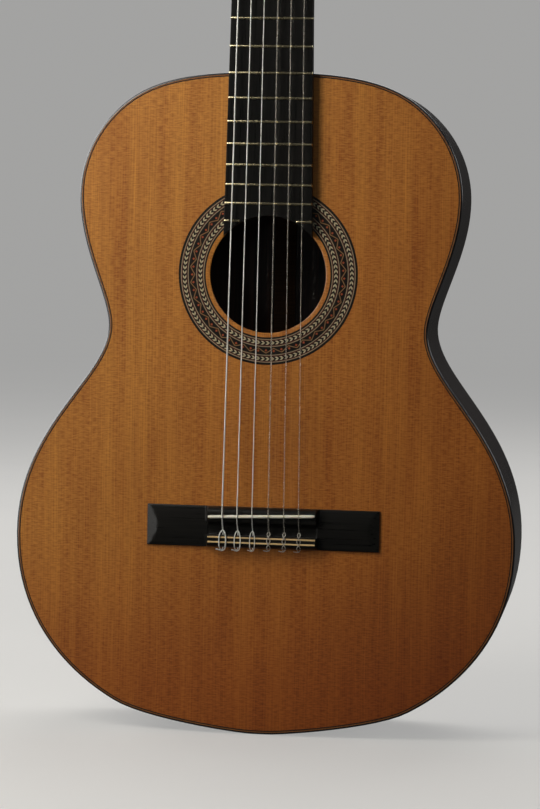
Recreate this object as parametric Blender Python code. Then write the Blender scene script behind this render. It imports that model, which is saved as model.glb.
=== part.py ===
"""Classical guitar, built as its separate pieces.

Frame: +Z up the neck, -Y out of the soundboard, +X towards the treble side.
The origin is the tail of the body, half way through the depth of the sides there,
so the guitar stands upright on z = 0. All dimensions are in millimetres.
"""

import math
from collections import namedtuple

import bmesh
import bpy
from mathutils import Vector

# ---------------------------------------------------------------- driving dimensions, mm
MM = 0.001                            # metres in a millimetre
GAP = 0.3                             # clearance between neighbouring pieces
CUT_PAST = 5.0                        # how far cutters run on outside a piece
SHARP_ANGLE = 40.0                    # degrees between faces that shade as an edge

SCALE = 650.0                         # string length, nut to saddle
BODY = 489.0                          # tail to body joint
DEPTH_TAIL, DEPTH_HEEL = 98.0, 94.0   # side depth
FRONT = -DEPTH_TAIL / 2               # y of the soundboard's outer face
DOME = 5.0                            # rise of the domed back
SPINE_LO, SPINE_HI = 140.0, 400.0     # ends of the dome's centre line
EDGE = 2.4                            # side and binding thickness
BINDING = 5.0                         # binding depth
TOP_T, BACK_T = 2.5, 2.6
UNDER_TOP = FRONT + TOP_T + GAP       # y where pieces under the soundboard start

TAIL_FLAT_HALF = 5.0                  # half of the flat the end graft stands on
JOINT_FLAT_HALF = 6.5                 # half of the opening for the neck web

HOLE_Z, HOLE_R = 340.9, 43.0
ROSE_IN, ROSE_OUT, ROSE_T = 46.2, 66.5, 1.0

NUT_Z, NUT_T, NUT_H, NUT_W = 813.0, 5.0, 8.0, 52.0
BOARD_T = 6.3                         # fingerboard top above the soundboard
BOARD_END_HALF = 32.7                 # half width at the soundhole end
BOARD_TAPER_Z = 380.0                 # where the taper reaches that half width

BRIDGE_LO, BRIDGE_HI = 138.8, 169.1
TIE_H = 7.8                           # tie block above the soundboard
TIE_HOLE_H = 4.6                      # string holes above the soundboard
SADDLE_BASS_Z, SADDLE_TREBLE_Z = 161.8, 164.5
SADDLE_SPAN = 80.0                    # x distance between those two heights
SADDLE_T, SADDLE_H = 2.3, 11.4

TILT = math.radians(15.0)             # headstock tilted back
HEAD_T, VENEER_T, HEAD_HALF, HEAD_LEN = 20.0, 2.5, 36.0, 188.0
SLOT_IN, SLOT_OUT, SLOT_LO, SLOT_HI = 7.0, 24.5, 30.0, 142.0
ROLLER_U = (52.0, 87.0, 122.0)        # rollers along the headstock, from the nut
ROLLER_R = 5.0
ROLLER_Y = 10.0                       # roller axis behind the veneer's face

# diameter, x at saddle and nut, roller counted from the nut, x where its coil starts
GuitarString = namedtuple("GuitarString", "name diameter saddle_x nut_x roller coil_x")
STRINGS = (
    GuitarString("string_6_low_e", 1.12, -28.75, -21.25, 0, -19.5),
    GuitarString("string_5_a", 0.89, -17.68, -12.75, 1, -15.0),
    GuitarString("string_4_d", 0.74, -6.62, -4.25, 2, -12.0),
    GuitarString("string_3_g", 1.02, 5.47, 4.25, 2, 12.0),
    GuitarString("string_2_b", 0.82, 16.94, 12.75, 1, 15.0),
    GuitarString("string_1_high_e", 0.71, 27.88, 21.25, 0, 19.5),
)

# ---------------------------------------------------------------- start clean
for old in list(bpy.data.objects):
    bpy.data.objects.remove(old, do_unlink=True)

SCENE = bpy.context.scene


# ---------------------------------------------------------------- materials
def finish(name, rgb, roughness, metallic=0.0, coat=0.0):
    mat = bpy.data.materials.new(name)
    mat.use_nodes = True
    inputs = mat.node_tree.nodes["Principled BSDF"].inputs
    inputs["Base Color"].default_value = (*rgb, 1.0)
    inputs["Roughness"].default_value = roughness
    inputs["Metallic"].default_value = metallic
    inputs["Coat Weight"].default_value = coat
    mat.diffuse_color = (*rgb, 1.0)
    return mat


CEDAR = finish("cedar", rgb=(0.34, 0.13, 0.035), roughness=0.35, coat=0.4)
ROSEWOOD = finish("rosewood", rgb=(0.045, 0.022, 0.016), roughness=0.3, coat=0.5)
BINDING_WOOD = finish("binding_rosewood", rgb=(0.11, 0.05, 0.035), roughness=0.32, coat=0.5)
MAHOGANY = finish("mahogany", rgb=(0.16, 0.065, 0.03), roughness=0.4, coat=0.3)
SPRUCE = finish("spruce", rgb=(0.62, 0.43, 0.22), roughness=0.7)
EBONY = finish("ebony", rgb=(0.012, 0.011, 0.01), roughness=0.32)
MOSAIC = finish("rosette_mosaic", rgb=(0.16, 0.05, 0.025), roughness=0.35, coat=0.4)
BONE = finish("bone", rgb=(0.75, 0.7, 0.56), roughness=0.35)
NICKEL = finish("nickel_silver", rgb=(0.72, 0.66, 0.5), roughness=0.22, metallic=1.0)
BRASS = finish("brass", rgb=(0.72, 0.5, 0.2), roughness=0.25, metallic=1.0)
WOUND = finish("silver_wound", rgb=(0.75, 0.73, 0.68), roughness=0.28, metallic=1.0)
NYLON = finish("clear_nylon", rgb=(0.6, 0.55, 0.45), roughness=0.2)
PEARLOID = finish("pearloid", rgb=(0.78, 0.75, 0.68), roughness=0.25)


# ---------------------------------------------------------------- objects and booleans
# A shell is a pair: points in millimetres, and faces as tuples of point numbers.
def shade(mesh):
    mesh.shade_smooth()
    mesh.set_sharp_from_angle(angle=math.radians(SHARP_ANGLE))


def make(name, shell, mat, parent=None, origin=(0.0, 0.0, 0.0)):
    """One named object from a shell; the origin is taken off its points."""
    verts, faces = shell
    origin = Vector(origin)
    mesh = bpy.data.meshes.new(name)
    mesh.from_pydata([(Vector(point) - origin) * MM for point in verts], [], faces)
    bm = bmesh.new()
    bm.from_mesh(mesh)
    bmesh.ops.recalc_face_normals(bm, faces=bm.faces)
    bm.to_mesh(mesh)
    bm.free()
    mesh.materials.append(mat)
    shade(mesh)
    obj = bpy.data.objects.new(name, mesh)
    SCENE.collection.objects.link(obj)
    obj.parent = parent
    obj.location = origin * MM
    return obj


def boolean(obj, operation, shell):
    """Cuts or adds a shell, and keeps the result as plain mesh."""
    tool = make("tool", shell, obj.data.materials[0], obj.parent)
    mod = obj.modifiers.new("cut", "BOOLEAN")
    mod.operation = operation
    mod.object = tool
    mod.solver = "EXACT"
    bpy.context.view_layer.update()
    evaluated = obj.evaluated_get(bpy.context.evaluated_depsgraph_get())
    result = bpy.data.meshes.new_from_object(evaluated)
    obj.modifiers.clear()
    obj.data = result
    result.name = obj.name
    bpy.data.objects.remove(tool, do_unlink=True)
    bm = bmesh.new()
    bm.from_mesh(result)
    bmesh.ops.remove_doubles(bm, verts=bm.verts, dist=1e-6)
    bmesh.ops.dissolve_limit(
        bm, angle_limit=math.radians(0.05), verts=bm.verts, edges=bm.edges)
    bm.to_mesh(result)
    bm.free()
    shade(result)


def cut(obj, *shells):
    boolean(obj, "DIFFERENCE", join(shells))


def add(obj, *shells):
    boolean(obj, "UNION", join(shells))


# ---------------------------------------------------------------- shells
def join(shells):
    """Several separate shells as one."""
    verts, faces = [], []
    for shell_verts, shell_faces in shells:
        base = len(verts)
        verts += list(shell_verts)
        faces += [tuple(base + i for i in face) for face in shell_faces]
    return verts, faces


def band_faces(row, next_row, count):
    """Quads between two loops of count points, given by their row numbers."""
    first, second = row * count, next_row * count
    return [
        (first + j, first + (j + 1) % count, second + (j + 1) % count, second + j)
        for j in range(count)
    ]


def loft(loops):
    """A closed skin over loops of equal length, with flat ends."""
    count = len(loops[0])
    verts = [point for loop in loops for point in loop]
    faces = []
    for i in range(len(loops) - 1):
        faces += band_faces(i, i + 1, count)
    faces.append(tuple(range(count)))
    faces.append(tuple(range(len(verts) - count, len(verts))))
    return verts, faces


def ring_skin(loops):
    """A closed skin that runs on from the last loop to the first."""
    verts = [point for loop in loops for point in loop]
    faces = []
    for i in range(len(loops)):
        faces += band_faces(i, (i + 1) % len(loops), len(loops[0]))
    return verts, faces


def prism(points, z0, z1):
    """A profile of (x, y) points extruded from z0 to z1."""
    return loft([[(x, y, z) for x, y in points] for z in (z0, z1)])


def slab(points, y0, y1):
    """An outline of (x, z) points extruded from y0 to y1."""
    return loft([[(x, y, z) for x, z in points] for y in (y0, y1)])


def bar(points, x0, x1):
    """A profile of (y, z) points extruded from x0 to x1."""
    return loft([[(x, y, z) for y, z in points] for x in (x0, x1)])


def box(x0, x1, y0, y1, z0, z1):
    return prism([(x0, y0), (x1, y0), (x1, y1), (x0, y1)], z0, z1)


def span(side, near, far):
    """Two distances on one side (-1 or 1) of zero, the lower value first."""
    return sorted((side * near, side * far))


def circle(centre, across, up, radius, sides, phase=0.0):
    """Points of a circle in the plane of the two unit vectors."""
    points = []
    for k in range(sides):
        angle = phase + 2 * math.pi * k / sides
        points.append(
            centre + across * (radius * math.cos(angle)) + up * (radius * math.sin(angle)))
    return points


def section_axes(direction):
    """Two unit vectors square to a direction and to each other."""
    helper = Vector((0, 0, 1)) if abs(direction.z) < 0.9 else Vector((1, 0, 0))
    across = direction.cross(helper).normalized()
    return across, across.cross(direction)


def rod(start, end, radius, sides, phase=0.0):
    start, end = Vector(start), Vector(end)
    axes = section_axes((end - start).normalized())
    return loft([circle(point, *axes, radius, sides, phase) for point in (start, end)])


def turned(profile, start, direction, sides):
    """A solid of revolution over (distance along the unit direction, radius) pairs."""
    start, direction = Vector(start), Vector(direction)
    axes = section_axes(direction)
    return loft([
        circle(start + direction * distance, *axes, radius, sides)
        for distance, radius in profile
    ])


def tube(path, radius, sides):
    """A round string swept along a path, its section carried without twist."""
    points = [Vector(point) for point in path]
    last = len(points) - 1
    tangents = [
        (points[min(i + 1, last)] - points[max(i - 1, 0)]).normalized()
        for i in range(len(points))
    ]
    normal = tangents[0].cross(Vector((1, 0, 0))).normalized()
    loops = []
    for point, tangent in zip(points, tangents):
        normal = (normal - tangent * normal.dot(tangent)).normalized()
        loops.append(circle(point, normal, tangent.cross(normal), radius, sides))
    return loft(loops)


def closed_band(outer, inner, front, back):
    """A frame between two matching closed outlines; front and back give y from z."""
    return ring_skin([
        [(x, edge_y(z), z) for x, z in outline]
        for outline, edge_y in ((outer, front), (inner, front), (inner, back), (outer, back))
    ])


def open_band(outer, inner, front, back):
    """A strip between two matching open outlines; front and back give y from z."""
    return loft([
        [(out_x, front(out_z), out_z), (in_x, front(in_z), in_z),
         (in_x, back(in_z), in_z), (out_x, back(out_z), out_z)]
        for (out_x, out_z), (in_x, in_z) in zip(outer, inner)
    ])


def level(y):
    """A band edge at the same y all along."""
    return lambda z: y


# ---------------------------------------------------------------- body outline
# Nodes of the treble half, tail to body joint: x, z, heading in degrees from +x,
# length of the curve handle before and after the node, straight facets after it.
OUTLINE_NODES = (
    (TAIL_FLAT_HALF, 0.0, 0.0, 0.0, 15.0, 3),
    (110.6, 21.0, 30.6, 24.9, 12.0, 5),             # the tail turns up
    (186.0, 144.3, 90.0, 83.0, 81.7, 6),            # widest of the lower bout
    (118.5, 300.6, 90.0, 39.3, 21.7, 4),            # waist
    (141.7, 397.4, 90.0, 39.8, 29.8, 4),            # widest of the upper bout
    (101.4, 470.9, 180.0 - 33.2, 30.1, 30.6, 3),    # the shoulder turns in
    (JOINT_FLAT_HALF, BODY, 180.0, 27.5, 0.0, 0),
)


def bezier(controls, steps):
    """Points along a cubic curve, without its last one."""
    points = []
    for i in range(steps):
        part = i / steps
        rest = 1 - part
        weights = (rest ** 3, 3 * rest ** 2 * part, 3 * rest * part * part, part ** 3)
        points.append(tuple(
            sum(weight * control[axis] for weight, control in zip(weights, controls))
            for axis in (0, 1)
        ))
    return points


def handle(node, length):
    """The point a signed length along the node's heading."""
    x, z, heading = node[:3]
    angle = math.radians(heading)
    return (x + length * math.cos(angle), z + length * math.sin(angle))


def half_outline():
    points = []
    for node, following in zip(OUTLINE_NODES, OUTLINE_NODES[1:]):
        controls = (node[:2], handle(node, node[4]),
                    handle(following, -following[3]), following[:2])
        points += bezier(controls, node[5])
    points.append(OUTLINE_NODES[-1][:2])
    return points


def mirrored(points):
    """The points on the other side, in reverse order."""
    return [(-x, z) for x, z in reversed(points)]


HALF = half_outline()
FULL = HALF + mirrored(HALF)


def edges(loop):
    """Pairs of neighbouring points round a closed outline."""
    return list(zip(loop, loop[1:] + loop[:1]))


def inset(points, distance):
    """Moves each point of a closed outline in, along the mitre of its two facets."""
    normals = []
    for (start_x, start_z), (end_x, end_z) in edges(points):
        run_x, run_z = end_x - start_x, end_z - start_z
        length = math.hypot(run_x, run_z)
        normals.append((-run_z / length, run_x / length))
    moved = []
    for i, (x, z) in enumerate(points):
        before, after = normals[i - 1], normals[i]
        mitre_x, mitre_z = before[0] + after[0], before[1] + after[1]
        length = math.hypot(mitre_x, mitre_z)
        mitre_x, mitre_z = mitre_x / length, mitre_z / length
        # the limit keeps a very sharp corner from running away
        step = distance / max(0.3, mitre_x * before[0] + mitre_z * before[1])
        moved.append((x + mitre_x * step, z + mitre_z * step))
    return moved


# ---------------------------------------------------------------- shape of the back
BACK_LOOP = inset(FULL, EDGE + GAP)


def back_edge(z):
    """y of the back's outer face at the body's edge."""
    return FRONT + DEPTH_TAIL + (DEPTH_HEEL - DEPTH_TAIL) * z / BODY


def spine_z(z):
    """Height of the nearest point of the dome's centre line."""
    return min(max(z, SPINE_LO), SPINE_HI)


def reach(x, z):
    """0 on the dome's centre line, 1 on the back's outline, along the ray through (x, z)."""
    centre_z = spine_z(z)
    distance = math.hypot(x, z - centre_z)
    if distance < 1e-9:
        return 0.0
    ray_x, ray_z = x / distance, (z - centre_z) / distance
    nearest = 1e9
    for (start_x, start_z), (end_x, end_z) in edges(BACK_LOOP):
        edge_x, edge_z = end_x - start_x, end_z - start_z
        cross = ray_x * edge_z - ray_z * edge_x
        if abs(cross) < 1e-12:
            continue
        along_ray = (start_x * edge_z - (start_z - centre_z) * edge_x) / cross
        along_edge = (start_x * ray_z - (start_z - centre_z) * ray_x) / cross
        if along_ray > 0 and -1e-9 <= along_edge <= 1 + 1e-9:
            nearest = min(nearest, along_ray)
    return distance / nearest


def inner_back(x, z):
    """y of the domed back's inner face."""
    return back_edge(z) - BACK_T + DOME * (1.0 - min(1.0, reach(x, z)) ** 2)


# ---------------------------------------------------------------- soundboard, rosette, bindings
def rose_ring(inner_r, outer_r, y0, y1, sides=40):
    """A flat ring round the soundhole."""
    def outline(radius):
        angles = [2 * math.pi * k / sides for k in range(sides)]
        return [(radius * math.cos(a), HOLE_Z + radius * math.sin(a)) for a in angles]
    return closed_band(outline(outer_r), outline(inner_r), level(y0), level(y1))


def build_soundboard():
    soundboard = make("soundboard", slab(BACK_LOOP, FRONT, FRONT + TOP_T), CEDAR)
    hole_ends = [(0, y, HOLE_Z) for y in (FRONT - CUT_PAST, FRONT + TOP_T + CUT_PAST)]
    cut(soundboard, rod(*hole_ends, HOLE_R, 32))
    cut(soundboard, rose_ring(
        ROSE_IN - GAP, ROSE_OUT + GAP, FRONT - CUT_PAST, FRONT + ROSE_T + GAP))


def build_rosette():
    make("rosette", rose_ring(ROSE_IN, ROSE_OUT, FRONT, FRONT + ROSE_T), MOSAIC)


def build_bindings():
    inner = inset(FULL, EDGE)
    top = closed_band(FULL, inner, level(FRONT), level(FRONT + BINDING))
    make("top_binding", top, BINDING_WOOD)
    back = closed_band(FULL, inner, lambda z: back_edge(z) - BINDING, back_edge)
    make("back_binding", back, BINDING_WOOD)


# ---------------------------------------------------------------- sides and end graft
SIDE_FRONT = FRONT + BINDING + GAP


def side_back(z):
    return back_edge(z) - BINDING - GAP


def side_run(side, distance):
    """One side's run at an inset, from beside the end graft to beside the neck web."""
    run = inset(FULL, distance)[:len(HALF)]
    run[0] = (TAIL_FLAT_HALF + GAP, distance)
    return [(side * x, z) for x, z in run]


def build_sides():
    for name, side in (("side_treble", 1), ("side_bass", -1)):
        outer, inner = side_run(side, 0.0), side_run(side, EDGE)
        make(name, open_band(outer, inner, level(SIDE_FRONT), side_back), ROSEWOOD)


def build_end_graft():
    graft = box(-TAIL_FLAT_HALF, TAIL_FLAT_HALF, SIDE_FRONT, side_back(0), 0.0, EDGE)
    make("end_graft", graft, BINDING_WOOD)


# ---------------------------------------------------------------- linings, one bent strip each
LINING_W, LINING_D = 5.4, 13.0
LINING_END_HALF = 31.0                # x of the ends, beside the neck foot
TOP_LINING_BACK = UNDER_TOP + LINING_D


def lining_run(distance):
    """From beside the neck foot, round the tail, to the other side of the neck foot."""
    loop = inset(FULL, distance)
    half = [(x, z) for x, z in loop[:len(HALF)] if x > LINING_END_HALF or z < BODY / 2]
    (last_x, last_z), (next_x, next_z) = half[-1], loop[len(half)]
    part = (last_x - LINING_END_HALF) / (last_x - next_x)
    half.append((LINING_END_HALF, last_z + part * (next_z - last_z)))
    return mirrored(half) + half


def back_lining_back(z):
    return back_edge(z) - BACK_T - GAP


def back_lining_front(z):
    return back_lining_back(z) - LINING_D


def build_linings():
    outer, inner = lining_run(EDGE + GAP), lining_run(EDGE + GAP + LINING_W)
    top = open_band(outer, inner, level(UNDER_TOP), level(TOP_LINING_BACK))
    make("top_lining", top, SPRUCE)
    back = open_band(outer, inner, back_lining_front, back_lining_back)
    make("back_lining", back, SPRUCE)


# ---------------------------------------------------------------- tail block
BLOCK_HALF = 32.0
SKIRT_TOP_Z, CORE_TOP_Z = 20.0, 24.0


def block_plan(distance, top_z):
    """Follows the tail at an inset below, flat at top_z."""
    (start_x, start_z), (end_x, end_z) = inset(FULL, distance)[:2]
    side_z = start_z + (end_z - start_z) * (BLOCK_HALF - start_x) / (end_x - start_x)
    return [(-BLOCK_HALF, side_z), (-start_x, start_z), (start_x, start_z),
            (BLOCK_HALF, side_z), (BLOCK_HALF, top_z), (-BLOCK_HALF, top_z)]


def build_tail_block():
    """The skirt fits between the linings; the core stands inside both of them."""
    skirt = slab(block_plan(EDGE + GAP, SKIRT_TOP_Z),
                 TOP_LINING_BACK + GAP, back_lining_front(0) - 2 * GAP)
    core = slab(block_plan(EDGE + 2 * GAP + LINING_W, CORE_TOP_Z),
                UNDER_TOP, back_lining_back(0) - 2 * GAP)
    add(make("tail_block", skirt, MAHOGANY), core)


# ---------------------------------------------------------------- back, domed
BACK_RINGS = (1.0, 0.72, 0.4, 0.08)   # size of each ring against the outline


def back_rings(offset):
    loops = []
    for size in BACK_RINGS:
        loop = []
        for x, z in BACK_LOOP:
            ring_z = spine_z(z) + (z - spine_z(z)) * size
            y = back_edge(ring_z) + DOME * (1 - size * size) + offset
            loop.append((x * size, y, ring_z))
        loops.append(loop)
    return loops


def build_back():
    loops = back_rings(0.0) + back_rings(-BACK_T)[::-1]
    count, middle = len(BACK_LOOP), len(BACK_RINGS) - 1
    faces = []
    for row in range(len(loops)):
        if row != middle:             # both faces are capped across the middle instead
            faces += band_faces(row, (row + 1) % len(loops), count)
    for row in (middle, middle + 1):
        first, last = row * count, (row + 1) * count - 1
        for k in range(count // 2 - 1):
            faces.append((first + k, first + k + 1, last - 1 - k, last - k))
    make("back", ([point for loop in loops for point in loop], faces), ROSEWOOD)


# ---------------------------------------------------------------- soundboard bracing
BRACE_LOOP = inset(FULL, EDGE + 2 * GAP + LINING_W + 0.5)    # just inside the linings
LOWER_BAR_Z, UPPER_BAR_Z = 262.0, 418.0
BRACE_BAR_T, BRACE_BAR_H = 6.0, 15.0
BAR_END_H = 4.0                       # height of every cross bar at its ends
BRACE_BAR_TAPER = 28.0                # length of the sloping ends
STRUT_IN, STRUT_OUT, STRUT_H = 72.0, 78.0, 5.0
FAN_T, FAN_H, FAN_TIP_H = 5.0, 4.5, 1.6
FAN_TOP_PITCH, FAN_TAIL_PITCH = 17.0, 41.0
FAN_TAIL_Z = (52.0, 56.0, 66.0, 92.0)    # tail ends, from the middle fan outwards
FAN_TAPER_FROM = 0.8                  # part of the length at full height


def bar_half(z, thickness):
    """Half length of a cross bar that fits inside the linings."""
    def half_width(at_z):
        best = 0.0
        for (start_x, start_z), (end_x, end_z) in edges(BRACE_LOOP):
            if (start_z - at_z) * (end_z - at_z) <= 0 and start_z != end_z:
                part = (at_z - start_z) / (end_z - start_z)
                best = max(best, start_x + (end_x - start_x) * part)
        return best
    return min(half_width(z - thickness / 2), half_width(z + thickness / 2))


def harmonic_bar(z):
    half = bar_half(z, BRACE_BAR_T)
    flat = half - BRACE_BAR_TAPER
    end_y, full_y = UNDER_TOP + BAR_END_H, UNDER_TOP + BRACE_BAR_H
    profile = [(-half, UNDER_TOP), (half, UNDER_TOP), (half, end_y),
               (flat, full_y), (-flat, full_y), (-half, end_y)]
    return prism(profile, z - BRACE_BAR_T / 2, z + BRACE_BAR_T / 2)


def fan(number):
    """A fan strut from the lower bar to the tail; 0 is the middle one."""
    start = Vector((number * FAN_TOP_PITCH, 0, LOWER_BAR_Z))
    end = Vector((number * FAN_TAIL_PITCH, 0, FAN_TAIL_Z[abs(number)]))
    direction = (end - start).normalized()
    across = Vector((direction.z, 0, -direction.x)) * (FAN_T / 2)
    foot = Vector((0, UNDER_TOP, 0))
    loops = []
    for part, height in ((0.0, FAN_H), (FAN_TAPER_FROM, FAN_H), (1.0, FAN_TIP_H)):
        point = start + (end - start) * part
        crest = Vector((0, UNDER_TOP + height, 0))
        loops.append([point + across + foot, point - across + foot,
                      point - across * 0.5 + crest, point + across * 0.5 + crest])
    return loft(loops)


def build_soundboard_bracing():
    """Two harmonic bars, a strut each side of the hole, and seven fans."""
    bracing = make("soundboard_bracing", harmonic_bar(LOWER_BAR_Z), SPRUCE)
    add(bracing, harmonic_bar(UPPER_BAR_Z))
    add(bracing, *[
        box(*span(side, STRUT_IN, STRUT_OUT), UNDER_TOP, UNDER_TOP + STRUT_H,
            LOWER_BAR_Z - 1, UPPER_BAR_Z + 1)
        for side in (-1, 1)
    ])
    add(bracing, *[fan(number) for number in range(-3, 4)])


# ---------------------------------------------------------------- back bracing
STRIP_HALF, STRIP_LO, STRIP_HI = 8.0, 44.0, 430.0
STRIP_NEAR, STRIP_FAR = 0.2, 2.2      # strip faces, beyond the gap to the back
BACK_BAR_Z = (150.0, 285.0, 400.0)
BACK_BAR_T, BACK_BAR_H, BACK_BAR_TAPER = 7.0, 15.0, 30.0
BACK_BAR_NEAR = 0.4                   # bar's face, beyond the gap to the back
CURVE_STEPS = 12


def centre_strip():
    corners = ((-STRIP_HALF, STRIP_NEAR), (STRIP_HALF, STRIP_NEAR),
               (STRIP_HALF, STRIP_FAR), (-STRIP_HALF, STRIP_FAR))
    loops = []
    for i in range(CURVE_STEPS + 1):
        z = STRIP_LO + i * (STRIP_HI - STRIP_LO) / CURVE_STEPS
        loops.append([(x, inner_back(x, z) - GAP - depth, z) for x, depth in corners])
    return loft(loops)


def back_bar(z):
    """A cross bar that follows the dome, lower at its ends and narrower at its crest."""
    half = bar_half(z, BACK_BAR_T) - 1.0
    below, above = z - BACK_BAR_T / 2, z + BACK_BAR_T / 2
    loops = []
    for i in range(CURVE_STEPS + 1):
        x = -half + 2 * half * i / CURVE_STEPS
        taper = max(0.0, (abs(x) - half + BACK_BAR_TAPER) / BACK_BAR_TAPER)
        height = BACK_BAR_H - (BACK_BAR_H - BAR_END_H) * taper
        base_y = min(inner_back(x, below), inner_back(x, above)) - GAP - BACK_BAR_NEAR
        crest_y = inner_back(x, z) - GAP - height
        loops.append([(x, base_y, below), (x, base_y, above),
                      (x, crest_y, z + BACK_BAR_T / 4), (x, crest_y, z - BACK_BAR_T / 4)])
    return loft(loops)


def build_back_bracing():
    bracing = make("back_bracing", centre_strip(), SPRUCE)
    for z in BACK_BAR_Z:
        add(bracing, back_bar(z))


# ---------------------------------------------------------------- headstock frame
# Local x across, y into the wood from the veneer's face, z up the headstock.
HEAD_UP = Vector((0.0, math.sin(TILT), math.cos(TILT)))
HEAD_IN = Vector((0.0, math.cos(TILT), -math.sin(TILT)))
HEAD_FACE = Vector((0.0, FRONT, NUT_Z + NUT_T)) - HEAD_IN * VENEER_T


def head_to_world(x, y, z):
    return HEAD_FACE + Vector((x, 0, 0)) + HEAD_IN * y + HEAD_UP * z


def add_head_frame():
    frame = bpy.data.objects.new("head_frame", None)
    SCENE.collection.objects.link(frame)
    frame.location = HEAD_FACE * MM
    frame.rotation_euler = (-TILT, 0.0, 0.0)
    return frame


HEAD_FRAME = add_head_frame()

# ---------------------------------------------------------------- neck
# z, depth behind the soundboard's face, blend from shaft (0) to heel (1)
NECK_STATIONS = (
    (BODY + 0.6, DEPTH_HEEL, 1.0),    # the heel cap is part of this piece
    (496.0, DEPTH_HEEL - 1.0, 0.96), (503.0, DEPTH_HEEL - 14.0, 0.85),
    (511.0, 60.0, 0.66), (521.0, 41.0, 0.4), (534.0, 29.0, 0.16), (550.0, 24.6, 0.04),
    (575.0, 23.2, 0.0), (690.0, 22.0, 0.0), (803.0, 21.0, 0.0),
)
SECTION_STEPS = 8                     # facets on each half of a section
SHAFT_POWER = 0.75                    # fullness of the shaft's D shape
HEEL_KEEL, HEEL_FLARE, HEEL_POWER = 0.2, 0.78, 1.25    # heel width, as parts of the half width
SHAFT_END_W, HEEL_END_W = 0.12, 0.22  # width of the section's deepest flat, likewise
WEB_HALF, WEB_LO = 6.0, 470.0
FOOT_HALF, FOOT_LO = 28.0, 458.0
FOOT_HI = BODY - EDGE - 1.4
TOE = ((0, 432.0), (6, 432.0), (14, 459.0), (0, 459.0))    # depth under the soundboard, z


def board_half(z):
    """Half width of the fingerboard."""
    part = (NUT_Z - z) / (NUT_Z - BOARD_TAPER_Z)
    return NUT_W / 2 + (BOARD_END_HALF - NUT_W / 2) * part


def neck_section(z, depth, heel):
    """D-shaped (x, depth) points of the neck."""
    half = max(board_half(z), NUT_W / 2)    # no narrower past the nut
    points = []
    for k in range(SECTION_STEPS + 1):
        angle = math.pi / 2 * k / SECTION_STEPS
        shaft_w = math.cos(angle) ** SHAFT_POWER
        heel_w = HEEL_KEEL + HEEL_FLARE * (1 - math.sin(angle)) ** HEEL_POWER
        if k == SECTION_STEPS:
            shaft_w, heel_w = SHAFT_END_W, HEEL_END_W
        width = shaft_w * (1 - heel) + heel_w * heel
        points.append((half * width, depth * math.sin(angle)))
    return points + mirrored(points)


def build_neck():
    """Shaft and heel, with a web through the sides and a foot inside the body."""
    sections = [
        [(x, FRONT + deep, z) for x, deep in neck_section(z, depth, heel)]
        for z, depth, heel in NECK_STATIONS
    ]
    end = neck_section(NUT_Z + NUT_T, HEAD_T - VENEER_T, 0.0)
    sections.append([head_to_world(x, VENEER_T + deep, -GAP) for x, deep in end])
    neck = make("neck", loft(sections), MAHOGANY)
    add(neck, box(-WEB_HALF, WEB_HALF, SIDE_FRONT, side_back(BODY), WEB_LO, BODY + 3.0))
    foot_back = back_edge(450.0) - BACK_T - 2 * GAP
    add(neck, box(-FOOT_HALF, FOOT_HALF, UNDER_TOP, foot_back, FOOT_LO, FOOT_HI))
    add(neck, bar([(UNDER_TOP + deep, z) for deep, z in TOE], -FOOT_HALF, FOOT_HALF))


# ---------------------------------------------------------------- fingerboard and frets
FRETS = 19
FRET_TOP, FRET_W = 7.5, 2.0           # crown above the soundboard, bead width
FRET_INSET = 0.2                      # fret ends in from the fingerboard's edge
TANG_HALF, TANG_DEPTH, TANG_SLOT_DEPTH = 0.3, 1.7, 1.9
SPLIT = 21.9                          # inner ends of the last fret, each side of the hole
END_ARC_STEPS = 8
BEAD_STEPS = 6


def fret_z(number):
    return NUT_Z - SCALE * (1 - 2 ** (-number / 12))


def tang_slot(number, x0, x1):
    top = FRONT - BOARD_T
    half, z = TANG_HALF + GAP, fret_z(number)
    return box(x0, x1, top - CUT_PAST, top + TANG_SLOT_DEPTH, z - half, z + half)


def build_fingerboard():
    """Its end is cut round the soundhole, and slots take the fret tangs."""
    plan = [(-NUT_W / 2, NUT_Z - GAP), (NUT_W / 2, NUT_Z - GAP)]
    end_angle = math.asin(BOARD_END_HALF / HOLE_R)
    for k in range(END_ARC_STEPS + 1):
        angle = end_angle * (1 - 2 * k / END_ARC_STEPS)
        plan.append((HOLE_R * math.sin(angle), HOLE_Z + HOLE_R * math.cos(angle)))
    fingerboard = make("fingerboard", slab(plan, FRONT - BOARD_T, FRONT - GAP), EBONY)
    past = BOARD_END_HALF + CUT_PAST
    slots = [tang_slot(number, -past, past) for number in range(1, FRETS)]
    slots += [tang_slot(FRETS, *span(side, SPLIT - GAP, past)) for side in (-1, 1)]
    cut(fingerboard, *slots)


def fret(name, number, x0, x1):
    """A crowned bead on a tang that stands in its slot."""
    z = fret_z(number)
    under = FRONT - BOARD_T - GAP
    rise = FRET_TOP - BOARD_T - GAP
    profile = [(under + TANG_DEPTH, z - TANG_HALF), (under, z - TANG_HALF)]
    for i in range(BEAD_STEPS + 1):
        angle = math.pi * i / BEAD_STEPS
        profile.append((under - rise * math.sin(angle), z - FRET_W / 2 * math.cos(angle)))
    profile += [(under, z + TANG_HALF), (under + TANG_DEPTH, z + TANG_HALF)]
    make(name, bar(profile, x0, x1), NICKEL)


def build_frets():
    for number in range(1, FRETS):
        half = board_half(fret_z(number)) - FRET_INSET
        fret(f"fret_{number:02d}", number, -half, half)
    half = board_half(fret_z(FRETS)) - FRET_INSET
    fret(f"fret_{FRETS}_bass", FRETS, -half, -SPLIT)
    fret(f"fret_{FRETS}_treble", FRETS, SPLIT, half)


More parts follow.
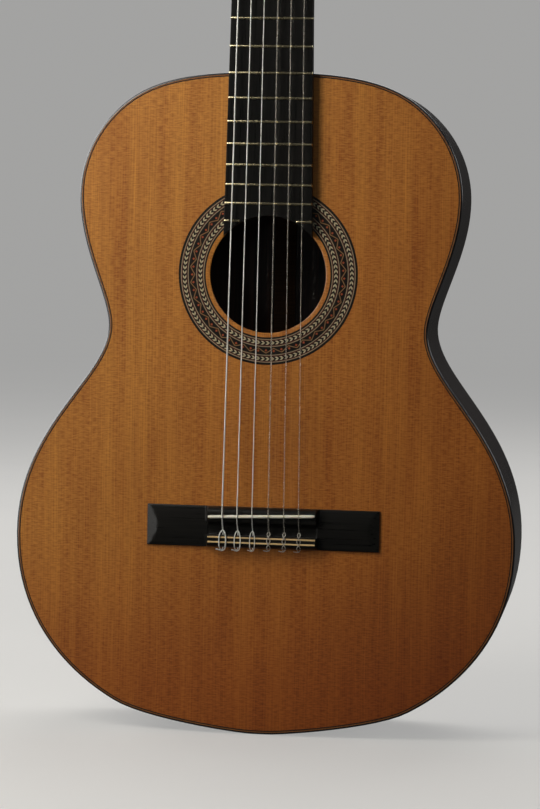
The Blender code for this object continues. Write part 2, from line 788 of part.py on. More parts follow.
# ---------------------------------------------------------------- nut
# height above the soundboard, distance up from the fingerboard end of the nut
NUT_PROFILE = (
    (GAP, GAP), (GAP, NUT_T - GAP), (NUT_H - 1.2, NUT_T - GAP),
    (NUT_H, NUT_T - 1.8), (NUT_H, 0.8), (NUT_H - 0.4, GAP),
)


def build_nut():
    profile = [(FRONT - height, NUT_Z + up) for height, up in NUT_PROFILE]
    make("nut", bar(profile, -NUT_W / 2, NUT_W / 2), BONE)


# ---------------------------------------------------------------- bridge and saddle
BRIDGE_HALF, TIE_HALF = 86.5, 40.5    # half lengths of the whole bridge and its tall middle
WING_H, WING_EDGE_H, WING_ROUND = 3.4, 2.0, 1.4
BRIDGE_FRONT_H = 8.9                  # the part that holds the saddle
# height above the soundboard, z
BRIDGE_PROFILE = (
    (GAP, BRIDGE_LO), (3.2, BRIDGE_LO), (TIE_H, 141.6), (TIE_H, 148.0),
    (2.6, 148.4), (2.6, 155.2), (BRIDGE_FRONT_H - 0.6, 157.8), (BRIDGE_FRONT_H, 159.0),
    (BRIDGE_FRONT_H, 166.3), (BRIDGE_FRONT_H - 2.4, BRIDGE_HI - 0.6), (GAP, BRIDGE_HI),
)
# z, height above the soundboard
WING_PROFILE = (
    (BRIDGE_LO, GAP), (BRIDGE_LO, WING_EDGE_H), (BRIDGE_LO + WING_ROUND, WING_H),
    (BRIDGE_HI - WING_ROUND, WING_H), (BRIDGE_HI, WING_EDGE_H), (BRIDGE_HI, GAP),
)
# distance from the middle, part of the full height
WING_STATIONS = ((TIE_HALF - 3, 1.0), (BRIDGE_HALF - 9, 1.0), (BRIDGE_HALF, 0.35))
TIE_HOLE_R, TIE_HOLE_LO, TIE_HOLE_HI = 1.05, 136.0, 151.0
SADDLE_SLOT_HALF, SADDLE_SLOT_H = 40.2, 2.4    # half length, floor above the soundboard
SADDLE_FOOT_H, SADDLE_SHOULDER = 2.7, 0.8
# x, height of the top above the soundboard
SADDLE_STATIONS = (
    (-39.6, SADDLE_H - 0.6), (-30.0, SADDLE_H), (30.0, SADDLE_H), (39.6, SADDLE_H - 0.6),
)


def saddle_z(x):
    """Centre line of the slanted saddle."""
    slope = (SADDLE_TREBLE_Z - SADDLE_BASS_Z) / SADDLE_SPAN
    return (SADDLE_TREBLE_Z + SADDLE_BASS_Z) / 2 + x * slope


def bridge_wing(side):
    return loft([
        [(side * x, FRONT - (GAP + (height - GAP) * part), z) for z, height in WING_PROFILE]
        for x, part in WING_STATIONS
    ])


def saddle_slot():
    half, reach_z = SADDLE_SLOT_HALF, SADDLE_T / 2 + GAP
    plan = [(-half, saddle_z(-half) - reach_z), (half, saddle_z(half) - reach_z),
            (half, saddle_z(half) + reach_z), (-half, saddle_z(-half) + reach_z)]
    return slab(plan, FRONT - BRIDGE_FRONT_H - CUT_PAST, FRONT - SADDLE_SLOT_H)


def tie_hole(x):
    ends = [(x, FRONT - TIE_HOLE_H, z) for z in (TIE_HOLE_LO, TIE_HOLE_HI)]
    return rod(*ends, TIE_HOLE_R, 8, phase=math.pi / 8)


def build_bridge():
    profile = [(FRONT - height, z) for height, z in BRIDGE_PROFILE]
    bridge = make("bridge", bar(profile, -TIE_HALF, TIE_HALF), EBONY)
    add(bridge, bridge_wing(-1), bridge_wing(1))
    cut(bridge, saddle_slot())
    cut(bridge, *[tie_hole(string.saddle_x) for string in STRINGS])


def build_saddle():
    half = SADDLE_T / 2
    loops = []
    for x, top in SADDLE_STATIONS:
        section = ((SADDLE_FOOT_H, -half), (SADDLE_FOOT_H, half),
                   (top - SADDLE_SHOULDER, half), (top, half * 0.35),
                   (top, -half * 0.35), (top - SADDLE_SHOULDER, -half))
        loops.append([(x, FRONT - height, saddle_z(x) + up) for height, up in section])
    make("saddle", loft(loops), BONE)


# ---------------------------------------------------------------- headstock and its veneer
# Treble half of the plan, x and z: neck width at the nut, flared shoulders,
# straight sides and a low arched top.
HEAD_PLAN = [
    (NUT_W / 2, GAP), (NUT_W / 2 + 0.4, 8.0), (NUT_W / 2 + 3.0, 18.0),
    (HEAD_HALF - 2.5, 27.0), (HEAD_HALF, 34.0), (HEAD_HALF, 160.0),
    (HEAD_HALF - 1.2, 170.0), (26.0, 175.0), (20.0, 181.0), (10.0, 186.5),
]
RAMP_IN, RAMP_OUT = 9.5, 22.5
# y, z of the sloping cut at the nut end of each slot
RAMP_PROFILE = ((-3.0, 18.0), (0.0, 20.0), (5.0, 37.0), (5.0, 44.0), (-3.0, 44.0))
BORE_R, BORE_SIDES = 3.3, 14          # holes for the roller axles
SLOT_END_STEPS = 6


def slot_cutter(side):
    """A round-ended slot for three rollers."""
    middle_x, radius = side * (SLOT_IN + SLOT_OUT) / 2, (SLOT_OUT - SLOT_IN) / 2
    plan = []
    for centre_z, start_angle in ((SLOT_HI - radius, 0.0), (SLOT_LO + radius, math.pi)):
        for k in range(SLOT_END_STEPS + 1):
            angle = start_angle + math.pi * k / SLOT_END_STEPS
            plan.append((middle_x + radius * math.cos(angle),
                         centre_z + radius * math.sin(angle)))
    return slab(plan, -CUT_PAST, HEAD_T + CUT_PAST)


def axle_bores(x0, x1):
    return [rod((x0, ROLLER_Y, z), (x1, ROLLER_Y, z), BORE_R, BORE_SIDES) for z in ROLLER_U]


def build_headstock():
    plan = HEAD_PLAN + [(0.0, HEAD_LEN)] + mirrored(HEAD_PLAN)
    wood = make("headstock", slab(plan, VENEER_T + GAP, HEAD_T), MAHOGANY, HEAD_FRAME)
    veneer = make("headstock_veneer", slab(plan, 0.0, VENEER_T), ROSEWOOD, HEAD_FRAME)
    for piece in (wood, veneer):
        cut(piece, slot_cutter(-1), slot_cutter(1))
        cut(piece, *[bar(RAMP_PROFILE, *span(side, RAMP_IN, RAMP_OUT)) for side in (-1, 1)])
    past = HEAD_HALF + CUT_PAST
    cut(wood, *axle_bores(-past, past))


# ---------------------------------------------------------------- tuners
PLATE_T, PLATE_W = 1.2, 14.0
PLATE_PAST_LO, PLATE_PAST_HI = 17.0, 10.0    # plate ends beyond the outer rollers
PLATE_X = HEAD_HALF + GAP
GEAR_R, WORM_R, TEETH, GEAR_W = 5.0, 2.5, 14, 2.5
PITCH = 2.0 * math.pi * GEAR_R / TEETH
ADDENDUM, DEDENDUM = 0.5, 0.8
TOOTH = 0.85                          # tooth thickness on the pitch line
TIP_TAPER = 0.15                      # taken off each flank at a tip
GEAR_ROOT_FLARE, THREAD_ROOT_FLARE = 0.24, 0.3    # added to each flank at a root
THREAD_TURNS, THREAD_SIDES = 2.75, 10
THREAD_SINK = 0.25                    # thread's root sunk into the shaft
WORM_CLEARANCE = 0.1                  # beyond the gap between worm and plate
GEAR_X = PLATE_X + PLATE_T + GAP + WORM_R + ADDENDUM + WORM_CLEARANCE
LUG_SINK, LUG_PAST, LUG_HALF = 0.4, 3.0, 3.0    # into the plate, past the worm axis, along z
LUG_IN, LUG_OUT = 4.6, 6.4            # y faces, from the roller axis
PEG_SHAFT_R = WORM_R - DEDENDUM
PEG_FRONT, PEG_BACK = 2.6, 24.0       # y of the worm shaft's ends
AXLE_R, AXLE_TIP_R = 2.9, 2.4
AXLE_START = 3.2                      # distance from the headstock's middle
# y, half length along z, half width along x
BUTTON_STATIONS = (
    (23.0, 3.2, 2.6), (25.2, 6.0, 3.9), (28.5, 8.7, 4.6),
    (32.5, 8.8, 4.4), (35.6, 6.0, 3.2), (36.9, 2.4, 1.4),
)
BUTTON_SIDES = 10


def worm_z(roller_z):
    """The worm sits on the nut side of its gear."""
    return roller_z - (GEAR_R + WORM_R)


def build_tuner_plates():
    """Side plates with two lugs round each worm shaft."""
    for name, side in (("tuner_plate_treble", 1), ("tuner_plate_bass", -1)):
        plate = make(
            name,
            box(*span(side, PLATE_X, PLATE_X + PLATE_T),
                ROLLER_Y - PLATE_W / 2, ROLLER_Y + PLATE_W / 2,
                ROLLER_U[0] - PLATE_PAST_LO, ROLLER_U[-1] + PLATE_PAST_HI),
            BRASS, HEAD_FRAME)
        lugs, shaft_holes = [], []
        past_y = PLATE_W / 2 + CUT_PAST
        for roller_z in ROLLER_U:
            z = worm_z(roller_z)
            for facing in (-1, 1):
                lug_y = [ROLLER_Y + offset for offset in span(facing, LUG_IN, LUG_OUT)]
                lugs.append(box(*span(side, PLATE_X + LUG_SINK, GEAR_X + LUG_PAST),
                                *lug_y, z - LUG_HALF, z + LUG_HALF))
            ends = [(side * GEAR_X, y, z) for y in (ROLLER_Y - past_y, ROLLER_Y + past_y)]
            shaft_holes.append(rod(*ends, PEG_SHAFT_R + GAP, 12))
        add(plate, *lugs)
        cut(plate, *axle_bores(
            side * (PLATE_X - CUT_PAST), side * (PLATE_X + PLATE_T + CUT_PAST)))
        cut(plate, *shaft_holes)


def gear(middle_x, centre_z, side):
    """Trapezoid teeth, leaning to the worm's lead; a tooth points at the worm."""
    lean = PITCH / (2 * math.pi * WORM_R) / GEAR_R    # radians per mm of width
    root_r, tip_r = GEAR_R - DEDENDUM, GEAR_R + ADDENDUM
    root_half, tip_half = 0.5 * TOOTH + GEAR_ROOT_FLARE, 0.5 * TOOTH - TIP_TAPER
    flanks = ((root_r, -root_half), (tip_r, -tip_half), (tip_r, tip_half), (root_r, root_half))
    loops = []
    for offset in (-GEAR_W / 2, GEAR_W / 2):
        loop = []
        for k in range(TEETH):
            tooth_angle = -math.pi / 2 + 2 * math.pi * k / TEETH
            for radius, half in flanks:
                angle = tooth_angle + half / radius + lean * offset * side
                loop.append((middle_x + side * offset, ROLLER_Y + radius * math.cos(angle),
                             centre_z + radius * math.sin(angle)))
        loops.append(loop)
    return loft(loops)


def thread(x, z):
    """The worm's right-handed thread about the axis -y, half a pitch off at the gear."""
    root_r, tip_r = PEG_SHAFT_R - THREAD_SINK, WORM_R + ADDENDUM
    root_half, tip_half = 0.5 * TOOTH + THREAD_ROOT_FLARE, 0.5 * TOOTH - TIP_TAPER
    section = ((root_r, root_half), (tip_r, tip_half), (tip_r, -tip_half), (root_r, -root_half))
    loops = []
    for i in range(int(THREAD_TURNS * THREAD_SIDES) + 1):
        # counted from +z towards -x
        angle = 2 * math.pi * (i / THREAD_SIDES - THREAD_TURNS / 2 - 0.5)
        advance = PITCH / 2 + PITCH * angle / (2 * math.pi)
        loops.append([
            (x - radius * math.sin(angle), ROLLER_Y - (advance + half),
             z + radius * math.cos(angle))
            for radius, half in section
        ])
    return loft(loops)


def button(x, z):
    """Oval button on the end of the worm shaft."""
    angles = [2 * math.pi * k / BUTTON_SIDES for k in range(BUTTON_SIDES)]
    return loft([
        [(x + width * math.cos(a), y, z + length * math.sin(a)) for a in angles]
        for y, length, width in BUTTON_STATIONS
    ])


def build_peg(number, side, roller_z):
    """Worm shaft, thread and button in one piece."""
    x, z = side * GEAR_X, worm_z(roller_z)
    shaft = rod((x, PEG_FRONT, z), (x, PEG_BACK, z), PEG_SHAFT_R, 10)
    peg = make("peg_" + number, shaft, PEARLOID, HEAD_FRAME, origin=(x, ROLLER_Y, z))
    add(peg, thread(x, z))
    add(peg, button(x, z))


def build_roller(number, side, roller_z):
    """Axle and roller with the gear on its outer end."""
    x = side * GEAR_X
    gear_end = GEAR_X + GEAR_W / 2
    profile = (
        (AXLE_START, AXLE_R), (SLOT_IN + 0.6, AXLE_R), (SLOT_IN + 0.7, ROLLER_R),
        (SLOT_OUT - 0.7, ROLLER_R), (SLOT_OUT - 0.6, AXLE_R),
        (gear_end + 0.2, AXLE_R), (gear_end + 1.6, AXLE_TIP_R),
    )
    shell = turned(profile, (0.0, ROLLER_Y, roller_z), (side, 0, 0), 12)
    origin = (x, ROLLER_Y, roller_z)
    roller = make("roller_" + number, shell, BRASS, HEAD_FRAME, origin=origin)
    add(roller, gear(x, roller_z, side))


def build_tuners():
    build_tuner_plates()
    for string in STRINGS:
        number = string.name.split("_")[1]
        side = 1 if string.coil_x > 0 else -1
        build_peg(number, side, ROLLER_U[string.roller])
        build_roller(number, side, ROLLER_U[string.roller])


# ---------------------------------------------------------------- strings
COIL_TURNS, COIL_STEPS = 2.2, 9
COIL_START = -0.35                    # radians round from the front of the roller
COIL_SPACE = 0.35                     # between neighbouring turns
STRING_SIDES = 6


def bridge_path(string):
    """Over the tie block, back through its hole and over the saddle."""
    radius = string.diameter / 2
    over_tie = TIE_H + GAP + radius
    over_saddle = SADDLE_H + GAP + radius
    middle_z = saddle_z(string.saddle_x)
    # height above the soundboard, z
    stations = (
        (over_tie, 147.2), (over_tie, 141.4), (over_tie - 1.6, 138.9 - radius),
        (5.2, 137.6 - radius), (TIE_HOLE_H, 138.6 - radius), (TIE_HOLE_H, 148.5), (5.4, 150.0),
        (over_saddle, middle_z - 1.7), (over_saddle, middle_z + 1.7),
    )
    return [(string.saddle_x, FRONT - height, z) for height, z in stations]


def nut_path(string):
    over_nut = NUT_H + GAP + string.diameter / 2
    return [(string.nut_x, FRONT - over_nut, NUT_Z + 0.4),
            (string.nut_x, FRONT - over_nut + 0.25, NUT_Z + NUT_T - 0.6)]


def coil_path(string):
    """On to the front of the roller, then round it, away from the nut first."""
    outwards = 1 if string.coil_x > 0 else -1
    # the rollers nearest the nut wind towards the middle, the others outwards
    advance = -outwards if string.roller == 0 else outwards
    # flats of the coil, not its corners, clear the roller
    radius = (ROLLER_R + GAP + string.diameter / 2) / math.cos(math.pi / COIL_STEPS)
    path = []
    for i in range(int(COIL_TURNS * COIL_STEPS) + 1):
        angle = 2 * math.pi * i / COIL_STEPS + COIL_START
        x = string.coil_x + advance * (string.diameter + COIL_SPACE) * i / COIL_STEPS
        path.append(head_to_world(
            x, ROLLER_Y - radius * math.cos(angle),
            ROLLER_U[string.roller] + radius * math.sin(angle)))
    return path


def build_strings():
    for string in STRINGS:
        path = bridge_path(string) + nut_path(string) + coil_path(string)
        mat = WOUND if string.coil_x < 0 else NYLON    # the three bass strings are wound
        make(string.name, tube(path, string.diameter / 2, STRING_SIDES), mat)


# ---------------------------------------------------------------- the whole guitar
build_soundboard()
build_rosette()
build_bindings()
build_sides()
build_end_graft()
build_linings()
build_tail_block()
build_back()
build_soundboard_bracing()
build_back_bracing()
build_neck()
build_fingerboard()
build_frets()
build_nut()
build_bridge()
build_saddle()
build_headstock()
build_tuners()
build_strings()
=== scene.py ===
"""Classical guitar: the finished surfaces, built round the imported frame.

The guitar stands on its tail: z runs up from the tail to the headstock, x runs across with the
treble side at +x, and y runs from the front (-y) to the back (+y). Sizes are in millimetres and
become metres when a mesh is made.
"""
import math
from collections import namedtuple

import bmesh
import bpy
from mathutils import Matrix, Vector


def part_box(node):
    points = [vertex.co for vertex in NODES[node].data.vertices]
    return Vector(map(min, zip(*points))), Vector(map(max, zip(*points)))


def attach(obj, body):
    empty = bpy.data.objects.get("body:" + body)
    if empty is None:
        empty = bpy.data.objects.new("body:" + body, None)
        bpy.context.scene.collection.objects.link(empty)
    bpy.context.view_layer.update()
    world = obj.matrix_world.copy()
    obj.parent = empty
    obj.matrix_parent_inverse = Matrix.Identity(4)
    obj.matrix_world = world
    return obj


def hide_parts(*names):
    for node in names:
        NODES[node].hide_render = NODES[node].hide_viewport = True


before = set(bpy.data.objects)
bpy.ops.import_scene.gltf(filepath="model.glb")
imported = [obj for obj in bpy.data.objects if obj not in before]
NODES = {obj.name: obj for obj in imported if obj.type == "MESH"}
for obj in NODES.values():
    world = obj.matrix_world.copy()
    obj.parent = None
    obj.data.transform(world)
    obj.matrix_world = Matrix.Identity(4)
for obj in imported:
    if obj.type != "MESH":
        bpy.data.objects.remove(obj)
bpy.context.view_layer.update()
MM = 0.001
FULL_TURN = 2 * math.pi


def node_box(name):
    low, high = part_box(name)
    return [c * 1000 for c in low], [c * 1000 for c in high]


# ================================================================= sizes
# body
FRONT = node_box("soundboard")[0][1]              # y of the soundboard's face
ROSE_LOW, ROSE_HIGH = node_box("rosette")
HOLE_Z = (ROSE_LOW[2] + ROSE_HIGH[2]) / 2
ROSE_OUT = (ROSE_HIGH[2] - ROSE_LOW[2]) / 2
HOLE_R, ROSE_IN = 43.0, 46.3
LOWER_HALF, _, BODY = node_box("top_binding")[1]  # half width of the lower bout, body length
LOWER_Z = 144.3
WAIST_HALF, WAIST_Z = 118.5, 300.6
UPPER_HALF, UPPER_Z = 141.7, 397.4
TAIL_TURN = (110.6, 21.0, 30.6)                   # x, z and slope in degrees
SHOULDER = (101.4, 470.9, 33.2)                   # x, z and slope in degrees
DEPTH_TAIL, DEPTH_HEEL, DOME = 98.0, 94.0, 5.0
SIDE_T, BINDING, TOP_T, BACK_T = 2.4, 5.0, 2.5, 2.6
EDGE_BIND, EDGE_TAN, EDGE_BLACK = 1.45, 2.15, 2.95    # inner limits of the three edge strips
SPINE_LOW, SPINE_HIGH = 140.0, 400.0              # the back's dome falls away from this line
GRAFT_HALF, GRAFT_LINE_HALF = 4.2, 5.0

# neck, fingerboard and nut
NUT_Z, NUT_T, NUT_H, NUT_W = 813.0, 5.0, 8.0, 52.0
STRING_LIFT = 0.3                                 # string's underside above NUT_H
BOARD_T, BOARD_END_HALF, BOARD_END_Z, FRET_TOP = 6.3, 32.7, 380.0, 7.5
SCALE = 650.0
HEEL_MIN = 0.021                                  # smallest heel share in a neck section

# bridge and saddle
BRIDGE_Z0, BRIDGE_Z1 = 138.8, 169.1
SADDLE_BASS_Z, SADDLE_TREBLE_Z, SADDLE_T, SADDLE_H = 161.8, 164.5, 2.3, 11.4
SADDLE_MID = (SADDLE_TREBLE_Z + SADDLE_BASS_Z) / 2
SADDLE_SLOPE = (SADDLE_TREBLE_Z - SADDLE_BASS_Z) / 80.0
TIE_H, TIE_HOLE_H = 7.8, 4.7

# headstock and tuning machines
TILT = math.radians(15.0)
HEAD_T, VENEER_T, HEAD_HALF, HEAD_LEN = 20.0, 2.5, 36.0, 188.0
SLOT_IN, SLOT_OUT, SLOT_LOW, SLOT_HIGH = 7.0, 24.5, 30.0, 142.0
ROLLER_U, ROLLER_R, ROLLER_V = (52.0, 87.0, 122.0), 5.0, 10.0
BORE_R = 3.3
PLATE_X, PLATE_T = 36.3, 1.2
GEAR_X = PLATE_X + PLATE_T + 3.4
GEAR_R, WORM_R, TEETH, GEAR_W = 5.0, 2.5, 14, 2.5
WORM_DROP = GEAR_R + WORM_R                       # worm axis below the roller axis
PITCH = FULL_TURN * GEAR_R / TEETH

# Headstock frame: x across, v from the veneer's face towards the back, u along from the nut.
HEAD_U = Vector((0.0, math.sin(TILT), math.cos(TILT)))
HEAD_V = Vector((0.0, math.cos(TILT), -math.sin(TILT)))
HEAD_FACE = Vector((0.0, FRONT, NUT_Z + NUT_T)) - HEAD_V * VENEER_T
HEAD = Matrix((
    (1, 0, 0, HEAD_FACE.x),
    (0, HEAD_V.y, HEAD_U.y, HEAD_FACE.y),
    (0, HEAD_V.z, HEAD_U.z, HEAD_FACE.z),
    (0, 0, 0, 1),
))

# post is the roller's place in ROLLER_U; lane_x is where the winding starts on it
String = namedtuple("String", "node number saddle_x nut_x diameter post lane_x")
STRINGS = (
    String("string_6_low_e", "6", -28.75, -21.25, 1.12, 0, -19.5),
    String("string_5_a", "5", -17.68, -12.75, 0.89, 1, -15.0),
    String("string_4_d", "4", -6.62, -4.25, 0.74, 2, -12.0),
    String("string_3_g", "3", 5.47, 4.25, 1.02, 2, 12.0),
    String("string_2_b", "2", 16.94, 12.75, 0.82, 1, 15.0),
    String("string_1_high_e", "1", 27.88, 21.25, 0.71, 0, 19.5),
)
BASS_KNOT_HALF = {"6": 2.5, "5": 2.2, "4": 1.8}   # half width of each wound string's tie loop


# ================================================================= shader helpers
def srgb(color):
    """Linear colour, with alpha, from (red, green, blue) in 0 to 255."""
    def linear(c):
        c /= 255.0
        return c / 12.92 if c <= 0.04045 else ((c + 0.055) / 1.055) ** 2.4
    return (*[linear(c) for c in color], 1.0)


def darker(color, share):
    return tuple(c * share for c in color)


class Value:
    """A shader socket that takes part in plain arithmetic, one math node for each step."""

    def __init__(self, shader, socket):
        self.shader = shader
        self.socket = socket

    def __add__(self, other):
        return self.shader.math("ADD", self, other)

    def __radd__(self, other):
        return self.shader.math("ADD", other, self)

    def __sub__(self, other):
        return self.shader.math("SUBTRACT", self, other)

    def __mul__(self, other):
        return self.shader.math("MULTIPLY", self, other)

    def __truediv__(self, other):
        return self.shader.math("DIVIDE", self, other)

    def __abs__(self):
        return self.shader.math("ABSOLUTE", self)

    def ramp(self, start, end, low=0.0, high=1.0):
        """low at start, high at end, held outside; start may be above end."""
        inputs = dict(enumerate((self, start, end, low, high)))
        return self.shader.node("ShaderNodeMapRange", inputs, clamp=True)

    def band(self, low, high, soft):
        """1 between low and high, with soft edges."""
        rise = self.ramp(start=low - soft, end=low + soft)
        fall = self.ramp(start=high - soft, end=high + soft)
        return self.shader.math("SUBTRACT", rise, fall, clamp=True)


class Shader:
    """One material. Colours are (red, green, blue) in 0 to 255; lengths are millimetres."""

    def __init__(self, name):
        self.material = bpy.data.materials.new(name)
        self.material.use_nodes = True
        self.tree = self.material.node_tree
        self._position = None

    def feed(self, socket, value):
        if isinstance(value, Value):
            self.tree.links.new(value.socket, socket)
        else:
            socket.default_value = value

    def node(self, kind, inputs, output=0, **settings):
        node = self.tree.nodes.new(kind)
        for key, value in settings.items():
            setattr(node, key, value)
        for key, value in inputs.items():
            self.feed(node.inputs[key], value)
        return Value(self, node.outputs[output])

    def math(self, operation, *values, clamp=False):
        inputs = dict(enumerate(values))
        return self.node("ShaderNodeMath", inputs, operation=operation, use_clamp=clamp)

    def vector_math(self, operation, a, b, output=0):
        return self.node("ShaderNodeVectorMath", {0: a, 1: b}, output, operation=operation)

    def coordinates(self, kind):
        source = self.node("ShaderNodeTexCoord", {}, output=kind)
        return self.vector_math("MULTIPLY", source, (1000, 1000, 1000))

    def position(self):
        """Position on the object."""
        if self._position is None:
            self._position = self.coordinates("Object")
        return self._position

    def scaled(self, *per_mm):
        """Position times a frequency along x, y and z."""
        return self.vector_math("MULTIPLY", self.position(), per_mm)

    def split(self, vector):
        first = self.node("ShaderNodeSeparateXYZ", {0: vector})
        return [Value(self, socket) for socket in first.socket.node.outputs]

    def axes(self):
        return self.split(self.position())

    def uv_axes(self):
        """Length along the piece, place across it, and an empty third axis."""
        return self.split(self.coordinates("UV"))

    def combine(self, *parts):
        return self.node("ShaderNodeCombineXYZ", dict(enumerate(parts)))

    def noise(self, place, detail=2.0, roughness=0.5, distortion=0.0):
        """Noise at a vector or at three parts, whose factors are frequencies per millimetre.

        A plain number among the parts only picks a slice of the noise.
        """
        if isinstance(place, tuple):
            place = self.combine(*place)
        return self.node("ShaderNodeTexNoise", {
            "Vector": place, "Scale": 1.0, "Detail": detail, "Roughness": roughness,
            "Distortion": distortion})

    def mix(self, factor, under, over):
        under, over = [c if isinstance(c, Value) else srgb(c) for c in (under, over)]
        return self.node("ShaderNodeMix", {0: factor, 6: under, 7: over}, output=2,
                         data_type="RGBA", blend_type="MIX")

    def filtered(self, color, shares):
        """Colour times a linear share of red, green and blue."""
        return self.node("ShaderNodeMix", {0: 1.0, 6: color, 7: (*shares, 1.0)}, output=2,
                         data_type="RGBA", blend_type="MULTIPLY")

    def bump(self, height, depth, strength):
        return self.node("ShaderNodeBump", {
            "Strength": strength, "Distance": depth * MM, "Height": height})

    def edge(self, radius):
        """1 along edges, 0 on open faces."""
        rounded = self.node("ShaderNodeBevel", {"Radius": radius * MM}, samples=4)
        true = self.node("ShaderNodeNewGeometry", {}, output="Normal")
        match = self.vector_math("DOT_PRODUCT", rounded, true, output="Value")
        return match.ramp(start=0.995, end=0.9)

    def finish(self, color, roughness, normal=None, metallic=0.0, coat=0.0,
               coat_roughness=0.06, specular=0.5, **more):
        """Fill the surface shader; further inputs are named with _ for each space."""
        values = {
            "Base Color": color, "Roughness": roughness, "Metallic": metallic,
            "Specular IOR Level": specular, "Coat Weight": coat,
            "Coat Roughness": coat_roughness,
        }
        if normal is not None:
            values["Normal"] = normal
        values.update({key.replace("_", " "): value for key, value in more.items()})
        surface = self.tree.nodes["Principled BSDF"]
        for key, value in values.items():
            self.feed(surface.inputs[key], value)
        return self.material


# ================================================================= materials
def cedar():
    s = Shader("cedar_lacquered")
    x, y, z = s.axes()
    half = abs(x + z * 0.0007)                    # bookmatched halves, their joint just off plumb
    drift = s.noise((half * 0.02, 0.0, z * 0.0045))
    across = half + drift * 5.0
    # annual rings: slow rise through the early wood, short dark late wood
    pace = s.noise((across * 0.045, 3.1, 0.0), detail=1.0)
    ring = s.math("FRACT", across * 0.56 + pace * 9.0)
    late = ring.ramp(start=0.4, end=0.9) * ring.ramp(start=1.0, end=0.93)
    fine = s.noise((across * 1.5, y * 0.5, z * 0.018), detail=3.0, roughness=0.7)
    streak = s.noise((across * 0.1, 7.7, z * 0.0035), detail=3.0, roughness=0.6)
    # silk: short ripples across the grain, the wood's figure, with painted sheen on its light
    # strokes and painted shade on its dark strokes
    wobble = s.noise((x * 0.06, 2.0, z * 0.06))
    silk = s.noise((x * 0.2, 5.0, z * 1.02 + wobble * 3.6), roughness=0.6)
    patch = s.noise((x * 0.014, 1.0, z * 0.012))

    color = s.mix(streak.ramp(start=0.32, end=0.68), (198, 138, 59), (160, 98, 35))
    color = s.mix(patch.ramp(start=0.35, end=0.7) * 0.3, color, (204, 142, 61))
    color = s.mix(late * 0.32, color, (118, 64, 21))
    color = s.mix(fine.ramp(start=0.38, end=0.66, high=0.5), color, (120, 66, 21))
    # painted sheen: the silk's light strokes
    shine_share = patch.ramp(start=0.25, end=0.6, low=0.3, high=0.56)
    color = s.mix(silk.ramp(start=0.4, end=0.64) * shine_share, color, (214, 152, 72))
    # painted shade: the silk's dark strokes
    shade_share = patch.ramp(start=0.7, end=0.3, low=0.13, high=0.28)
    color = s.mix(silk.ramp(start=0.46, end=0.3) * shade_share, color, (112, 58, 22))
    # painted shade where the light falls off: redder towards the tail on the treble side, then
    # darker at the foot and its treble corner
    warm = (x - z * 0.6).ramp(start=-300.0, end=110.0)
    color = s.mix(warm, color, s.filtered(color, (0.84, 0.61, 0.42)))
    foot = z.ramp(start=150.0, end=36.0)
    color = s.mix(foot, color, s.filtered(color, (0.86, 0.69, 0.55)))
    corner = (x - z).ramp(start=-80.0, end=80.0)
    color = s.mix(corner, color, s.filtered(color, (0.8, 0.78, 0.76)))
    color = s.filtered(color, (0.985, 0.9, 0.79))
    # a few dark resin streaks
    resin = s.noise((x * 0.42, 9.0, z * 0.03), detail=1.0)
    color = s.mix(resin.ramp(start=0.765, end=0.8) * 0.6, color, (64, 28, 10))
    normal = s.bump(late * 0.6 + fine * 0.5, depth=0.02, strength=0.35)
    return s.finish(color, 0.42 + fine * 0.12, normal, coat=1.0, coat_roughness=0.035,
                    specular=0.3)


ROSE_RED, ROSE_PALE = (80, 32, 23), (162, 142, 114)
# plain rings of the rosette: inner radius, outer radius, colour
ROSE_RINGS = (
    (64.2, 64.82, ROSE_PALE), (63.5, 64.2, ROSE_RED), (60.0, 60.65, ROSE_RED),
    (59.1, 59.7, ROSE_PALE), (52.75, 53.35, ROSE_PALE), (51.85, 52.6, ROSE_RED),
    (48.35, 48.95, ROSE_RED), (47.55, 48.15, ROSE_PALE),
)
# chevron bands: middle radius, leaves in a full turn
ROSE_CHEVRONS = ((62.05, 110.6), (50.35, 89.2))
CHEVRON_HALF, CHEVRON_SLANT = 1.3, 0.36
# middle band: its radius, half waves in a full turn, start angle, wave height and half width
WEAVE_R, WEAVE_COUNT, WEAVE_START = 56.1, 61.0, math.pi * 0.5 + 0.17
WEAVE_HEIGHT, WEAVE_HALF = 1.62 / 1.4, 1.95


def rosette_chevrons(s, color, radius, turn):
    """Two bands of leaves pointing counter-clockwise from the front."""
    for middle, count in ROSE_CHEVRONS:
        offset = abs(radius - middle)
        # the added 200 keeps the value above zero
        cell = s.math("FRACT", turn * count + (offset * CHEVRON_SLANT + 200.0))
        leaf = (cell.band(low=0.26, high=0.72, soft=0.07)
                * offset.band(low=0.1, high=CHEVRON_HALF, soft=0.09))
        tone = s.noise((turn * 900.0, 0.0, radius))
        color = s.mix(leaf, color, s.mix(tone, (222, 211, 176), (176, 162, 126)))
    return color


def rosette_weave(s, color, radius, turn):
    """A tan wave that weaves round orange-red squares."""
    phase = turn * (math.pi * WEAVE_COUNT) + WEAVE_START
    # 0.985 keeps the wave's tips slightly round
    wave = s.math("ARCSINE", s.math("SINE", phase) * 0.985) * WEAVE_HEIGHT
    offset = radius - WEAVE_R
    line = (abs(offset - wave).ramp(start=0.52, end=0.26)
            * offset.band(low=-WEAVE_HALF, high=WEAVE_HALF, soft=0.06))
    color = s.mix(line, color, (142, 108, 70))
    # the added 100 keeps the value above zero
    cell = s.math("FRACT", phase / math.pi + 100.0) - 0.5
    arc = abs(cell * (FULL_TURN * WEAVE_R / WEAVE_COUNT))
    # push each square to the open side of the wave
    push = s.math("SIGN", s.math("SINE", phase)) * 0.3
    square = (arc + abs(offset + push)).ramp(start=1.12, end=0.86)
    ember = s.noise((turn * 400.0, 1.0, 0.0))
    return s.mix(square, color, s.mix(ember, (182, 92, 52), (142, 66, 38)))


